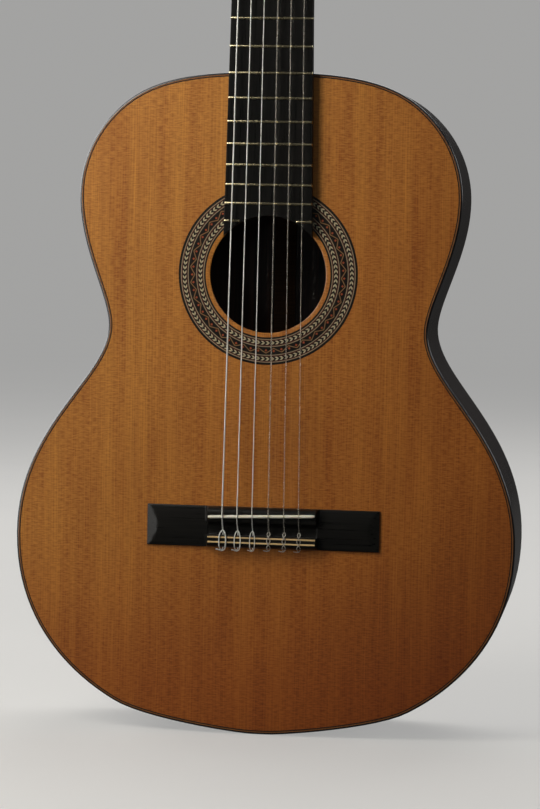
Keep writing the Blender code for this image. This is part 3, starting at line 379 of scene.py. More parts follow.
def rosette():
    s = Shader("rosette_mosaic_inlay")
    x, _, z = s.axes()
    rise = z - HOLE_Z
    radius = s.math("SQRT", x * x + rise * rise)
    # counter-clockwise from the lowest point, so the joint hides under the fingerboard
    turn = s.math("ARCTAN2", x, rise * -1.0) / FULL_TURN
    color = s.mix(s.noise(s.scaled(3, 3, 3)), (7, 5, 5), (15, 11, 9))
    for low, high, ring_color in ROSE_RINGS:
        color = s.mix(radius.band(low=low, high=high, soft=0.07), color, ring_color)
    color = rosette_chevrons(s, color, radius, turn)
    color = rosette_weave(s, color, radius, turn)
    grain = s.noise(s.scaled(4, 4, 1.2), detail=3.0)
    color = s.mix(grain.ramp(start=0.4, end=0.8, high=0.22), color, (20, 14, 10))
    return s.finish(color, 0.36, s.bump(grain, depth=0.01, strength=0.3), coat=1.0,
                    coat_roughness=0.035, specular=0.3)


def dark_wood(name, base, deep, warm, uv=False, coat=0.75, coat_roughness=0.05):
    """Rosewood: purple-brown with ink lines and open pores; grain runs along z, or along u."""
    s = Shader(name)
    if uv:
        along, across, _ = s.uv_axes()
        depth = 0.0
    else:
        across, depth, along = s.axes()
    warp = s.noise((across * 0.02, depth * 0.02, along * 0.004))
    across = across + warp * 26.0
    lines = s.noise((across * 0.22, depth * 0.2, along * 0.0025), detail=4.0, roughness=0.7)
    ink = s.noise((across * 0.55, 4.0, along * 0.003))
    pores = s.noise((across * 3.2, depth * 3.0, along * 0.16), roughness=0.6)
    color = s.mix(lines.ramp(start=0.32, end=0.68), deep, base)
    color = s.mix(lines.ramp(start=0.55, end=0.82, high=0.6), color, warm)
    color = s.mix(ink.ramp(start=0.62, end=0.68, high=0.8), color, darker(deep, 0.5))
    pit = pores.ramp(start=0.34, end=0.26)
    color = s.mix(pit * 0.6, color, (12, 8, 7))
    normal = s.bump(pit * -1.0, depth=0.03, strength=0.25)
    return s.finish(color, 0.3 + pores * 0.12, normal, coat=coat,
                    coat_roughness=coat_roughness, specular=0.45)


def mahogany():
    s = Shader("mahogany_neck")
    x, y, z = s.axes()
    warp = s.noise((x * 0.03, y * 0.03, z * 0.005))
    across = x + warp * 14.0
    ribbon = s.noise((across * 0.13, y * 0.13, z * 0.006), detail=3.0, roughness=0.6)
    pores = s.noise((across * 2.6, y * 2.6, z * 0.13))
    shimmer = s.noise((across * 0.2, 0.0, z * 0.09))
    color = s.mix(ribbon.ramp(start=0.3, end=0.7), (96, 52, 34), (134, 78, 50))
    color = s.mix(shimmer.ramp(start=0.45, end=0.75, high=0.25), color, (158, 98, 62))
    pit = pores.ramp(start=0.38, end=0.28)
    color = s.mix(pit * 0.55, color, (48, 24, 15))
    color = s.mix(s.edge(radius=1.2) * 0.25, color, (160, 104, 70))
    normal = s.bump(pit * -1.0, depth=0.03, strength=0.25)
    return s.finish(color, 0.32 + pores * 0.14, normal, coat=0.55, coat_roughness=0.1,
                    specular=0.4)


def ebony(name, along_x=False, lift=1.0):
    """Near-black wood, its grain along z or x; lift brightens the ground colours."""
    s = Shader(name)
    x, y, z = s.axes()
    along, across = (x, z) if along_x else (z, x)
    grain = s.noise((across * 0.7, y * 0.9, along * 0.014), detail=4.0, roughness=0.7)
    pores = s.noise((across * 4.0, y * 4.0, along * 0.22))
    broad = s.noise((across * 0.1, 0.0, along * 0.006))
    color = s.mix(grain.ramp(start=0.38, end=0.7), darker((11, 11, 10), lift),
                  darker((22, 21, 19), lift))
    color = s.mix(broad.ramp(start=0.5, end=0.8, high=0.45), color, (27, 23, 20))
    pit = pores.ramp(start=0.36, end=0.26)
    color = s.mix(pit * 0.5, color, (7, 7, 7))
    # edges: worn smoother, and painted a lighter grey as a highlight
    worn_and_highlit_edge = s.edge(radius=0.5)
    color = s.mix(worn_and_highlit_edge * 0.3, color, (62, 58, 54))
    roughness = grain.ramp(start=0.3, end=0.7, low=0.26, high=0.34) + worn_and_highlit_edge * -0.05
    normal = s.bump(grain * 0.4 - pit, depth=0.03, strength=0.3)
    return s.finish(color, roughness, normal, specular=0.3)


def bone():
    s = Shader("bone_polished")
    cloud = s.noise(s.scaled(0.25, 0.4, 0.4), detail=3.0)
    fleck = s.noise(s.scaled(1.2, 5.0, 5.0))
    color = s.mix(cloud.ramp(start=0.35, end=0.7), (247, 243, 226), (236, 229, 205))
    color = s.mix(fleck.ramp(start=0.62, end=0.8, high=0.25), color, (212, 200, 168))
    color = s.mix(s.edge(radius=0.4) * 0.3, color, (246, 242, 226))
    return s.finish(color, 0.28 + fleck * 0.15, s.bump(fleck, depth=0.02, strength=0.2),
                    Subsurface_Weight=0.15, Subsurface_Radius=(0.002, 0.0014, 0.0009),
                    Subsurface_Scale=0.5)


def metal(name, color, wear, roughness, scratches, tarnish=0.35):
    """Polished metal with fine scratches, duller tarnished patches and brighter edges.

    scratches is their frequency along x, y and z.
    """
    s = Shader(name)
    scratch = s.noise(s.scaled(*scratches), detail=4.0, roughness=0.75)
    cloud = s.noise(s.scaled(0.22, 0.22, 0.22), detail=3.0, roughness=0.6)
    bright = tuple(min(255, c + 36) for c in color)
    shade = s.mix(cloud.ramp(start=0.4, end=0.78, high=tarnish), color, wear)
    shade = s.mix(s.edge(radius=0.3) * 0.4, shade, bright)
    dull = cloud.ramp(start=0.35, end=0.75, low=roughness, high=roughness + 0.14)
    normal = s.bump(scratch, depth=0.006, strength=0.35)
    return s.finish(shade, dull + scratch * 0.08, normal, metallic=1.0)


def wound():
    """Silver-plated winding: fine turns along the string, slightly dulled."""
    s = Shader("silver_winding")
    along, around, _ = s.uv_axes()
    wire_pitch = 0.32
    turns = s.math("SINE", along * (FULL_TURN / wire_pitch) + around * FULL_TURN)
    tarnish = s.noise((along * 0.02, around, 0.0), detail=3.0)
    color = s.mix(tarnish.ramp(start=0.4, end=0.8, high=0.4), (240, 239, 232), (214, 208, 192))
    roughness = tarnish.ramp(start=0.3, end=0.8, low=0.32, high=0.44)
    return s.finish(color, roughness, s.bump(turns, depth=0.04, strength=0.6), metallic=0.45,
                    specular=0.8)


def nylon(name, clear, light, dark):
    s = Shader(name)
    along, around, _ = s.uv_axes()
    haze = s.noise((along * 0.05, around, 0.0), detail=3.0)
    roughness = haze.ramp(start=0.3, end=0.8, low=0.2, high=0.32)
    return s.finish(s.mix(haze, light, dark), roughness,
                    s.bump(haze, depth=0.01, strength=0.3), Transmission_Weight=clear, IOR=1.5)


def pearloid():
    s = Shader("pearloid_button")
    warp = s.noise(s.scaled(0.22, 0.22, 0.22))
    shift = s.vector_math("MULTIPLY", s.combine(warp, warp, warp), (1.2, 1.2, 1.2))
    warped = s.vector_math("ADD", s.scaled(0.33, 0.33, 0.33), shift)
    cell = s.node("ShaderNodeTexVoronoi", {"Vector": warped, "Scale": 1.0})
    stirred = s.vector_math("ADD", s.scaled(0.5, 0.35, 0.5), s.combine(cell, 0.0, cell))
    swirl = s.noise(stirred, detail=3.0, roughness=0.6, distortion=1.2)
    color = s.mix(swirl.ramp(start=0.3, end=0.7), (214, 208, 194), (243, 240, 230))
    color = s.mix(cell.ramp(start=0.5, end=0.95, high=0.3), color, (196, 186, 168))
    roughness = swirl.ramp(start=0.3, end=0.7, low=0.16, high=0.3)
    return s.finish(color, roughness, s.bump(swirl, depth=0.02, strength=0.2), coat=0.5,
                    coat_roughness=0.05, Sheen_Weight=0.1, Subsurface_Weight=0.12,
                    Subsurface_Radius=(0.002, 0.002, 0.0016), Subsurface_Scale=0.6)


def roller_white():
    s = Shader("roller_sleeve")
    cloud = s.noise(s.scaled(0.5, 0.5, 0.5), detail=3.0)
    rub = s.noise(s.scaled(3.5, 0.3, 0.3))
    color = s.mix(cloud.ramp(start=0.3, end=0.75), (228, 222, 205), (202, 192, 168))
    color = s.mix(rub.ramp(start=0.6, end=0.8, high=0.3), color, (160, 148, 124))
    roughness = rub.ramp(start=0.3, end=0.8, low=0.25, high=0.4)
    return s.finish(color, roughness, s.bump(rub, depth=0.02, strength=0.3))


def pale_wood(name, light, dark, along_x=False, roughness=0.62):
    """Straight-grained wood, bare or lightly finished; grain runs along z or x."""
    s = Shader(name)
    x, y, z = s.axes()
    along, across = (x, z) if along_x else (z, x)
    ring = s.noise((across * 0.9, y * 0.9, along * 0.012), detail=3.0, roughness=0.6)
    fibre = s.noise((across * 4.0, y * 4.0, along * 0.1))
    color = s.mix(ring.ramp(start=0.3, end=0.72), light, dark)
    color = s.mix(fibre.ramp(start=0.5, end=0.8, high=0.3), color, darker(dark, 0.7))
    return s.finish(color, roughness + fibre * 0.12, s.bump(fibre, depth=0.03, strength=0.4),
                    specular=0.3)


CEDAR = cedar()
ROSETTE = rosette()
ROSEWOOD = dark_wood("rosewood_back", base=(70, 46, 37), deep=(29, 19, 17), warm=(118, 74, 52))
ROSEWOOD_SIDE = dark_wood("rosewood_side", base=(60, 41, 34), deep=(26, 17, 16),
                          warm=(104, 66, 48), uv=True)
ROSEWOOD_HEAD = dark_wood("rosewood_veneer", base=(58, 38, 30), deep=(24, 16, 15),
                          warm=(98, 62, 44), coat=0.22, coat_roughness=0.25)
BINDING_WOOD = dark_wood("binding_dark_rosewood", base=(27, 19, 17), deep=(14, 10, 10),
                         warm=(46, 32, 26), uv=True, coat=1.0, coat_roughness=0.16)
PURFLING_BLACK = dark_wood("purfling_black", base=(11, 9, 8), deep=(6, 5, 5),
                           warm=(18, 14, 12), uv=True, coat=0.6)
PURFLING_TAN = pale_wood("purfling_brown", light=(150, 100, 58), dark=(116, 74, 40),
                         roughness=0.4)
MAHOGANY = mahogany()
EBONY = ebony("ebony_fingerboard")
EBONY_BRIDGE = ebony("ebony_bridge", along_x=True, lift=1.4)
BONE = bone()
FRET_METAL = metal("fret_nickel_silver", color=(222, 210, 172), wear=(150, 136, 98),
                   roughness=0.15, scratches=(0.25, 6.0, 6.0), tarnish=0.6)
GOLD = metal("tuner_brass", color=(216, 172, 98), wear=(150, 112, 60), roughness=0.22,
             scratches=(2.0, 2.0, 0.4))
GEAR_METAL = metal("gear_brass", color=(206, 166, 100), wear=(138, 104, 58), roughness=0.3,
                   scratches=(4.0, 4.0, 4.0))
STEEL = metal("steel_shaft", color=(206, 204, 198), wear=(140, 134, 124), roughness=0.24,
              scratches=(3.0, 0.5, 3.0))
WOUND = wound()
NYLON = nylon("clear_nylon_string", clear=0.85, light=(248, 243, 231), dark=(236, 228, 211))
NYLON_KNOT = nylon("clear_nylon_knot", clear=0.35, light=(222, 216, 204), dark=(200, 192, 176))
PEARL = pearloid()
ROLLER = roller_white()
SPRUCE = pale_wood("spruce_inside", light=(214, 178, 128), dark=(178, 136, 86))
# the back bars are painted dark: shade inside the body, seen through the sound hole
SHADED_CEDAR_BARS = pale_wood("cedar_bars_painted_shade", light=(112, 78, 50), dark=(84, 54, 34), along_x=True)
BLOCK = pale_wood("mahogany_block", light=(140, 88, 58), dark=(104, 60, 38))
STRIP_TAN = pale_wood("tie_block_strip", light=(234, 202, 146), dark=(210, 172, 116),
                      along_x=True, roughness=0.3)


# ================================================================= mesh helpers
# A shell is a pair (points in mm, faces).
def new_mesh(name, shell, uv=None, place=None):
    """Mesh with outward normals; uv is one (u, v) in mm for each face corner."""
    verts, faces = shell
    points = [Vector(v) for v in verts]
    if place is not None:
        points = [place @ p for p in points]
    mesh = bpy.data.meshes.new(name)
    mesh.from_pydata([p * MM for p in points], [], faces)
    if uv is not None:
        layer = mesh.uv_layers.new(name="UVMap")
        for corner, (u, v) in zip(layer.data, uv):
            corner.uv = (u * MM, v * MM)
    bm = bmesh.new()
    bm.from_mesh(mesh)
    bmesh.ops.recalc_face_normals(bm, faces=bm.faces)
    bm.to_mesh(mesh)
    bm.free()
    return mesh


def smooth(mesh, angle=35.0):
    mesh.shade_smooth()
    mesh.set_sharp_from_angle(angle=math.radians(angle))


def add_piece(name, shell, material, slot, stands_for=None, body="root", angle=35.0, uv=None,
              place=None):
    """A finished piece that moves with body and takes the place of the node it stands for."""
    mesh = new_mesh(name, shell, uv, place)
    mesh.materials.append(material)
    smooth(mesh, angle)
    obj = bpy.data.objects.new(name, mesh)
    bpy.context.scene.collection.objects.link(obj)
    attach(obj, body)
    if stands_for:
        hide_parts(stands_for)
    return obj


def soften(obj, width, segments, angle):
    """Round every edge sharper than angle."""
    bevel = obj.modifiers.new("soft_edges", "BEVEL")
    bevel.width = width * MM
    bevel.segments = segments
    bevel.limit_method = "ANGLE"
    bevel.angle_limit = math.radians(angle)
    bevel.harden_normals = True


def cut(obj, *shells):
    """Take shells given in the headstock frame out of a piece, one after another."""
    for shell in shells:
        tool = bpy.data.objects.new("cutter", new_mesh("cutter", shell, place=HEAD))
        bpy.context.scene.collection.objects.link(tool)
        boolean = obj.modifiers.new("cut", "BOOLEAN")
        boolean.operation = "DIFFERENCE"
        boolean.object = tool
        boolean.solver = "EXACT"
        bpy.context.view_layer.update()
        evaluated = obj.evaluated_get(bpy.context.evaluated_depsgraph_get())
        result = bpy.data.meshes.new_from_object(evaluated)
        obj.modifiers.clear()
        old = obj.data
        obj.data = result
        result.name = old.name
        bpy.data.objects.remove(tool, do_unlink=True)
        result.materials.clear()
        for material in old.materials:
            result.materials.append(material)
    smooth(obj.data)


def skin(loops, pairs):
    """Quads between each pair of equal closed loops."""
    n = len(loops[0])
    faces = []
    for a, b in pairs:
        for j in range(n):
            k = (j + 1) % n
            faces.append((a * n + j, a * n + k, b * n + k, b * n + j))
    return [p for loop in loops for p in loop], faces


def loft(loops):
    """Skin from the first loop to the last, closed by a face at each end."""
    n, rows = len(loops[0]), len(loops)
    verts, faces = skin(loops, [(i, i + 1) for i in range(rows - 1)])
    faces.append(tuple(range(n)))
    faces.append(tuple(range((rows - 1) * n, rows * n)))
    return verts, faces


def ring_skin(loops):
    """Skin whose last loop joins back to the first."""
    rows = len(loops)
    return skin(loops, [(i, (i + 1) % rows) for i in range(rows)])


def join(*shells):
    verts, faces = [], []
    for points, shell_faces in shells:
        base = len(verts)
        verts += list(points)
        faces += [tuple(base + i for i in face) for face in shell_faces]
    return verts, faces


def slab(plan, y0, y1):
    """An (x, z) plan carried from y0 to y1."""
    return loft([[(x, y, z) for x, z in plan] for y in (y0, y1)])


def box(x0, x1, y0, y1, z0, z1):
    return loft([[(x0, y0, z), (x1, y0, z), (x1, y1, z), (x0, y1, z)] for z in (z0, z1)])


def turned(profile, at, axis, sides=28):
    """Round shell from (distance along the axis, radius) points."""
    at, axis = Vector(at), Vector(axis).normalized()
    side = axis.cross(Vector((0, 0, 1)) if abs(axis.z) < 0.9 else Vector((1, 0, 0))).normalized()
    up = side.cross(axis)
    angles = [FULL_TURN * k / sides for k in range(sides)]
    return loft([[at + axis * along + side * (r * math.cos(a)) + up * (r * math.sin(a))
                  for a in angles] for along, r in profile])


def catmull(points, steps):
    """Smooth path through the points; steps is one number, or one for each stretch."""
    path = []
    points = [Vector(p) for p in points]
    last = len(points) - 1
    for i in range(last):
        p0, p1, p2, p3 = points[max(i - 1, 0)], points[i], points[i + 1], points[min(i + 2, last)]
        count = steps[i] if isinstance(steps, list) else steps
        for k in range(count):
            t = k / count
            path.append(0.5 * ((2 * p1) + (p2 - p0) * t + (2 * p0 - 5 * p1 + 4 * p2 - p3) * t * t
                               + (3 * p1 - p0 - 3 * p2 + p3) * t ** 3))
    path.append(points[-1])
    return path


def smooth_plan(points, steps):
    return [(p.x, p.z) for p in catmull([(x, 0, z) for x, z in points], steps)]


def mirrored(plan):
    return [(-x, z) for x, z in reversed(plan)]


def lofted_uv(along, spans):
    """Corner uvs of a loft's sides: u at each loop, and the (v, v) span of each side."""
    return [corner for u0, u1 in zip(along, along[1:]) for v0, v1 in spans
            for corner in ((u0, v0), (u0, v1), (u1, v1), (u1, v0))]


def tube(path, radius, sides):
    """Shell and corner uvs (length, turn) of a round string along a path."""
    tangents = []
    for i in range(len(path)):
        tangents.append((path[min(i + 1, len(path) - 1)] - path[max(i - 1, 0)]).normalized())
    normal = tangents[0].cross(Vector((1, 0, 0)))
    if normal.length < 0.1:
        normal = tangents[0].cross(Vector((0, 1, 0)))
    loops, along, run = [], [], 0.0
    for i, (point, tangent) in enumerate(zip(path, tangents)):
        normal = (normal - tangent * normal.dot(tangent)).normalized()
        side = tangent.cross(normal)
        if i:
            run += (path[i] - path[i - 1]).length
        along.append(run)
        loop = []
        for k in range(sides):
            a = FULL_TURN * k / sides
            loop.append(point + normal * (radius * math.cos(a)) + side * (radius * math.sin(a)))
        loops.append(loop)
    uv = lofted_uv(along, [(j / sides, (j + 1) / sides) for j in range(sides)])
    return loft(loops), uv + [(0.0, 0.0)] * (2 * sides)


def interpolate(table, at):
    """Straight-line value from (place, value) rows."""
    for (a, value_a), (b, value_b) in zip(table, table[1:]):
        if at <= b:
            return value_a + (value_b - value_a) * (at - a) / (b - a)
    return table[-1][1]


# ================================================================= body outline
def bezier(p0, p1, p2, p3, steps):
    points = []
    for i in range(steps):
        t = i / steps
        weights = ((1 - t) ** 3, 3 * (1 - t) ** 2 * t, 3 * (1 - t) * t * t, t ** 3)
        points.append(tuple(sum(w * p[axis] for w, p in zip(weights, (p0, p1, p2, p3)))
                            for axis in (0, 1)))
    return points


def half_outline():
    """Treble half of the body's outline as (x, z), from the tail to the heel."""
    def moved(corner, sign, distance):
        x, z, slope = corner
        slope = math.radians(slope)
        return x + distance * sign * math.cos(slope), z + distance * math.sin(slope)

    tail, shoulder = TAIL_TURN[:2], SHOULDER[:2]
    lower, waist, upper = (LOWER_HALF, LOWER_Z), (WAIST_HALF, WAIST_Z), (UPPER_HALF, UPPER_Z)
    top = (6.5, BODY)
    # start, its handle, the end's handle, end, steps
    curves = (
        ((5.0, 0), (20.0, 0), moved(TAIL_TURN, 1, -24.9), tail, 12),
        (tail, moved(TAIL_TURN, 1, 12), (LOWER_HALF, LOWER_Z - 83.0), lower, 26),
        (lower, (LOWER_HALF, LOWER_Z + 81.7), (WAIST_HALF, WAIST_Z - 39.3), waist, 30),
        (waist, (WAIST_HALF, WAIST_Z + 21.7), (UPPER_HALF, UPPER_Z - 39.8), upper, 22),
        (upper, (UPPER_HALF, UPPER_Z + 29.8), moved(SHOULDER, -1, -30.1), shoulder, 20),
        (shoulder, moved(SHOULDER, -1, 30.6), (34.0, BODY), top, 14),
    )
    return [point for curve in curves for point in bezier(*curve)] + [top]


def inset(points, distance):
    """The closed outline moved inwards; corners move less than a full mitre when very sharp."""
    moved, n = [], len(points)
    for i in range(n):
        before, here, after = points[(i - 1) % n], points[i], points[(i + 1) % n]
        normals = []
        for p, q in ((before, here), (here, after)):
            dx, dz = q[0] - p[0], q[1] - p[1]
            length = math.hypot(dx, dz)
            normals.append((-dz / length, dx / length))
        mx, mz = normals[0][0] + normals[1][0], normals[0][1] + normals[1][1]
        length = math.hypot(mx, mz)
        mx, mz = mx / length, mz / length
        step = distance / max(0.3, mx * normals[0][0] + mz * normals[0][1])
        moved.append((here[0] + mx * step, here[1] + mz * step))
    return moved


def front_face(z):
    return FRONT


def back_face(z):
    """y of the back's edge at height z."""
    return FRONT + DEPTH_TAIL + (DEPTH_HEEL - DEPTH_TAIL) * z / BODY


HALF = half_outline()
FULL = HALF + mirrored(HALF)
PLATE_EDGE = inset(FULL, EDGE_BLACK)
DOME_EDGE = inset(FULL, 2.7)
LENGTHS = [0.0]                                   # distance round the outline at each point
for start, end in zip(FULL, FULL[1:] + FULL[:1]):
    LENGTHS.append(LENGTHS[-1] + math.hypot(end[0] - start[0], end[1] - start[1]))


# ================================================================= soundboard and edges
def build_soundboard():
    def outline(depth):
        return [(x, FRONT + depth, z) for x, z in PLATE_EDGE]

    def hole_loop(radius, depth):
        loop = []
        for x, z in PLATE_EDGE:
            a = math.atan2(z - HOLE_Z, x)
            loop.append((radius * math.cos(a), FRONT + depth, HOLE_Z + radius * math.sin(a)))
        return loop

    # radius round the hole, depth: the face, the rosette's channel, then the hole's round rim
    rings = ((100.0, 0.0), (ROSE_OUT, 0.0), (ROSE_OUT, 1.0), (ROSE_IN, 1.0), (ROSE_IN, 0.0),
             (HOLE_R + 0.5, 0.0), (HOLE_R + 0.15, 0.15), (HOLE_R, 0.5), (HOLE_R, TOP_T - 0.4),
             (HOLE_R + 0.4, TOP_T))
    rows = [outline(0.0)] + [hole_loop(*ring) for ring in rings] + [outline(TOP_T)]
    add_piece("soundboard_plate", ring_skin(rows), CEDAR, "cedar_top",
              stands_for="soundboard", angle=28)


def build_rosette():
    sides = 288
    angles = [FULL_TURN * k / sides for k in range(sides)]
    proud, floor = -0.01, 0.97                    # depths of its face and underside
    rings = ((ROSE_OUT, proud), (60, proud), (54, proud), (ROSE_IN, proud),
             (ROSE_IN, floor), (ROSE_OUT, floor))
    rows = [[(r * math.cos(a), FRONT + depth, HOLE_Z + r * math.sin(a)) for a in angles]
            for r, depth in rings]
    add_piece("rosette_inlay", ring_skin(rows), ROSETTE, "rosette_mosaic",
              stands_for="rosette", angle=28)


def outline_strip(name, profile, face, inward, material, **options):
    """A strip swept round the body; profile is (inset, depth below the face) points."""
    loops, across = [], [0.0]
    for distance, depth in profile:
        loops.append([(x, face(z) + inward * depth, z) for x, z in inset(FULL, distance)])
    for (d0, depth0), (d1, depth1) in zip(profile, profile[1:]):
        across.append(across[-1] + math.hypot(d1 - d0, depth1 - depth0))
    uv = []
    for v0, v1 in zip(across, across[1:] + [across[-1] + 3]):
        for u0, u1 in zip(LENGTHS, LENGTHS[1:]):
            uv += [(u0, v0), (u1, v0), (u1, v1), (u0, v1)]
    add_piece(name, ring_skin(loops), material, "binding_rosewood", uv=uv, **options)


def build_edge(label, face, inward):
    """Binding with a rounded corner, then a brown and a black purfling line inside it."""
    radius, steps = 1.4, 5
    profile = [(SIDE_T, BINDING), (0.0, BINDING)]
    for k in range(steps + 1):
        a = math.pi / 2 * k / steps
        profile.append((radius * (1 - math.cos(a)), radius * (1 - math.sin(a))))
    profile += [(EDGE_BIND, 0.0), (EDGE_BIND, 2.4), (SIDE_T, 2.6)]
    outline_strip(label + "_binding_strip", profile, face, inward, BINDING_WOOD,
                  stands_for=label + "_binding", angle=50)
    for color, outer, inner, material in (("brown", EDGE_BIND, EDGE_TAN, PURFLING_TAN),
                                          ("black", EDGE_TAN, EDGE_BLACK, PURFLING_BLACK)):
        profile = [(outer, 0.0), (inner, 0.0), (inner, 2.3), (outer, 2.3)]
        outline_strip(label + "_purfling_" + color, profile, face, inward, material)


# ================================================================= sides and end graft
def build_side(label, sign):
    rows = 6
    inner_half = inset(FULL, SIDE_T)[:len(HALF)]
    inner_half[0] = (GRAFT_LINE_HALF, SIDE_T)
    loops = []
    for outer, inner in zip(HALF, inner_half):
        y0 = FRONT + BINDING
        loop = []
        for (x, z), order in ((outer, range(rows + 1)), (inner, range(rows, -1, -1))):
            y1 = back_face(z) - BINDING
            loop += [(sign * x, y0 + (y1 - y0) * k / rows, z) for k in order]
        loops.append(loop)
    # v runs 82 mm over the outer face, and back from 200 over the inner one
    across = [82.0 * k / rows for k in range(rows + 1)]
    across += [200.0 - v for v in across]
    shift = 0.0 if sign > 0 else 2000.0           # keeps the two sides' grain apart
    along = [shift + u for u in LENGTHS[:len(HALF)]]
    uv = lofted_uv(along, list(zip(across, across[1:] + across[:1])))
    uv += [(u, v) for u in (along[0], along[-1]) for v in across]
    add_piece(f"side_{label}_bent", loft(loops), ROSEWOOD_SIDE, "rosewood",
              stands_for="side_" + label, uv=uv)


def build_end_graft():
    """A strip between the sides at the tail, with a pale line along each edge."""
    y0, y1 = FRONT + BINDING, back_face(0) - BINDING
    add_piece("end_graft_strip", box(-GRAFT_HALF, GRAFT_HALF, y0, y1, 0.0, SIDE_T),
              BINDING_WOOD, "binding_rosewood", stands_for="end_graft",
              uv=[(0, 0), (8, 0), (8, 80), (0, 80)] * 6)
    for label, x0, x1 in (("bass", -GRAFT_LINE_HALF, -GRAFT_HALF),
                          ("treble", GRAFT_HALF, GRAFT_LINE_HALF)):
        add_piece("end_graft_line_" + label, box(x0, x1, y0, y1, 0.0, SIDE_T), PURFLING_TAN,
                  "binding_rosewood")


# ================================================================= back
def spine_point(z):
    return min(max(z, SPINE_LOW), SPINE_HIGH)


def reach(x, z):
    """How far (x, z) lies from the spine towards the dome's edge, as a share."""
    centre = spine_point(z)
    dx, dz = x, z - centre
    distance = math.hypot(dx, dz)
    if distance < 1e-9:
        return 0.0
    dx, dz = dx / distance, dz / distance
    nearest = 1e9
    for (ax, az), (bx, bz) in zip(DOME_EDGE, DOME_EDGE[1:] + DOME_EDGE[:1]):
        ex, ez = bx - ax, bz - az
        det = dx * ez - dz * ex
        if abs(det) < 1e-12:
            continue
        t = (ax * ez - (az - centre) * ex) / det
        q = (ax * dz - (az - centre) * dx) / det
        if t > 0 and -1e-9 <= q <= 1 + 1e-9:
            nearest = min(nearest, t)
    return distance / nearest


BACK_SINK = 0.08                                  # the plate's edge lies this far inside the face


def build_back_plate():
    """A domed plate: outer and inner rings that shrink towards the spine line."""
    shares = (1.0, 0.94, 0.86, 0.77, 0.68, 0.58, 0.48, 0.38, 0.28, 0.18, 0.08, 0.02)

    def dome_loop(share, lift):
        loop = []
        for x, z in PLATE_EDGE:
            centre = spine_point(z)
            z = centre + (z - centre) * share
            y = back_face(z) + DOME * (1 - share * share) + lift - BACK_SINK
            loop.append((x * share, y, z))
        return loop

    loops = [dome_loop(share, 0.0) for share in shares]
    loops += [dome_loop(share, -BACK_T) for share in reversed(shares)]
    rows, n = len(shares), len(PLATE_EDGE)
    # the two smallest rings aren't joined; each is filled straight across
    pairs = [(i, (i + 1) % (2 * rows)) for i in range(2 * rows) if i != rows - 1]
    verts, faces = skin(loops, pairs)
    for row in (rows - 1, rows):
        ring = [row * n + k for k in range(n)]
        for k in range(n // 2 - 1):
            faces.append((ring[k], ring[k + 1], ring[n - 2 - k], ring[n - 1 - k]))
    add_piece("back_plate", (verts, faces), ROSEWOOD, "rosewood", stands_for="back", angle=28)


def build_back_strip(label, x0, x1, lift, material):
    """A line up the back that follows the dome."""
    loops = []
    for i in range(81):
        z = 3.4 + (BODY - 6.8) * i / 80
        dome = DOME * max(0.0, 1.0 - min(1.0, reach((x0 + x1) / 2, z)) ** 2)
        y = back_face(z) + dome - BACK_SINK
        loops.append([(x0, y + lift, z), (x1, y + lift, z), (x1, y - 0.8, z), (x0, y - 0.8, z)])
    add_piece("back_strip_" + label, loft(loops), material, "binding_rosewood")


# ================================================================= neck with heel
# z, depth behind the front, heel share (1 is a full heel)
NECK_STATIONS = (
    (BODY + 0.05, 94.0, 1.0), (496.0, 92.6, 0.96), (503.0, 80.0, 0.85), (511.0, 60.0, 0.66),
    (521.0, 41.0, 0.4), (534.0, 29.0, 0.16), (550.0, 24.6, 0.05), (575.0, 23.2, HEEL_MIN),
    (690.0, 22.0, HEEL_MIN), (803.0, 21.0, HEEL_MIN),
)
# right half of the heel cap, outside edge to tip: x, z
HEEL_CAP = [(6.6, BODY + 0.2), (6.5, 493.4), (5.8, 496.2), (3.6, 497.8)]
SHAFT_POWER = 0.75                                # squares up the shaft's round section


def board_half(z):
    """Half width of the fingerboard, which widens from the nut towards the hole."""
    return NUT_W / 2 + (BOARD_END_HALF - NUT_W / 2) * (NUT_Z - z) / (NUT_Z - BOARD_END_Z)


def neck_section(z, depth, heel, count=24):
    half_width = board_half(z) if z < NUT_Z else NUT_W / 2
    half = []
    for k in range(count + 1):
        a = math.pi / 2 * k / count
        sine = math.sin(a)
        shaft = max(math.cos(a), 0.0) ** SHAFT_POWER
        heel_width = 0.2 + 0.78 * (1 - sine) ** 1.25
        share = 0.2 * heel if k == count else shaft * (1 - heel) + heel_width * heel
        half.append((half_width * share, FRONT + depth * sine, z))
    return half + [(-x, y, z) for x, y, z in reversed(half)]


def build_neck():
    heel_depth = back_face(BODY) - FRONT - 2.1
    stations = catmull(NECK_STATIONS, [6, 6, 6, 6, 6, 6, 6, 8, 6])
    sections = [neck_section(p.x, min(p.y, heel_depth), max(HEEL_MIN, min(1.0, p.z)))
                for p in stations]
    # the last section lies in the headstock's tilted end plane
    end = neck_section(NUT_Z + NUT_T, HEAD_T - VENEER_T, HEEL_MIN)
    sections.append([HEAD @ Vector((x, VENEER_T + y - FRONT, 0.0)) for x, y, _ in end])
    block = box(-28, 28, FRONT + 2.8, back_face(450) - 3.2, 458.0, BODY - 3.8)
    tongue = box(-5.8, 5.8, FRONT + 5.3, back_face(BODY) - 5.3, 480, BODY + 1.0)
    add_piece("neck_shaft_and_heel", join(loft(sections), block, tongue), MAHOGANY,
              "mahogany", stands_for="neck", angle=40)


def build_heel_cap():
    plan = smooth_plan(HEEL_CAP + [(0.0, 498.3)] + mirrored(HEEL_CAP), 4)
    cap = add_piece("heel_cap", slab(plan, back_face(BODY) - 2.2, back_face(BODY) - 0.02),
                    ROSEWOOD_HEAD, "binding_rosewood")
    soften(cap, width=0.3, segments=2, angle=35)


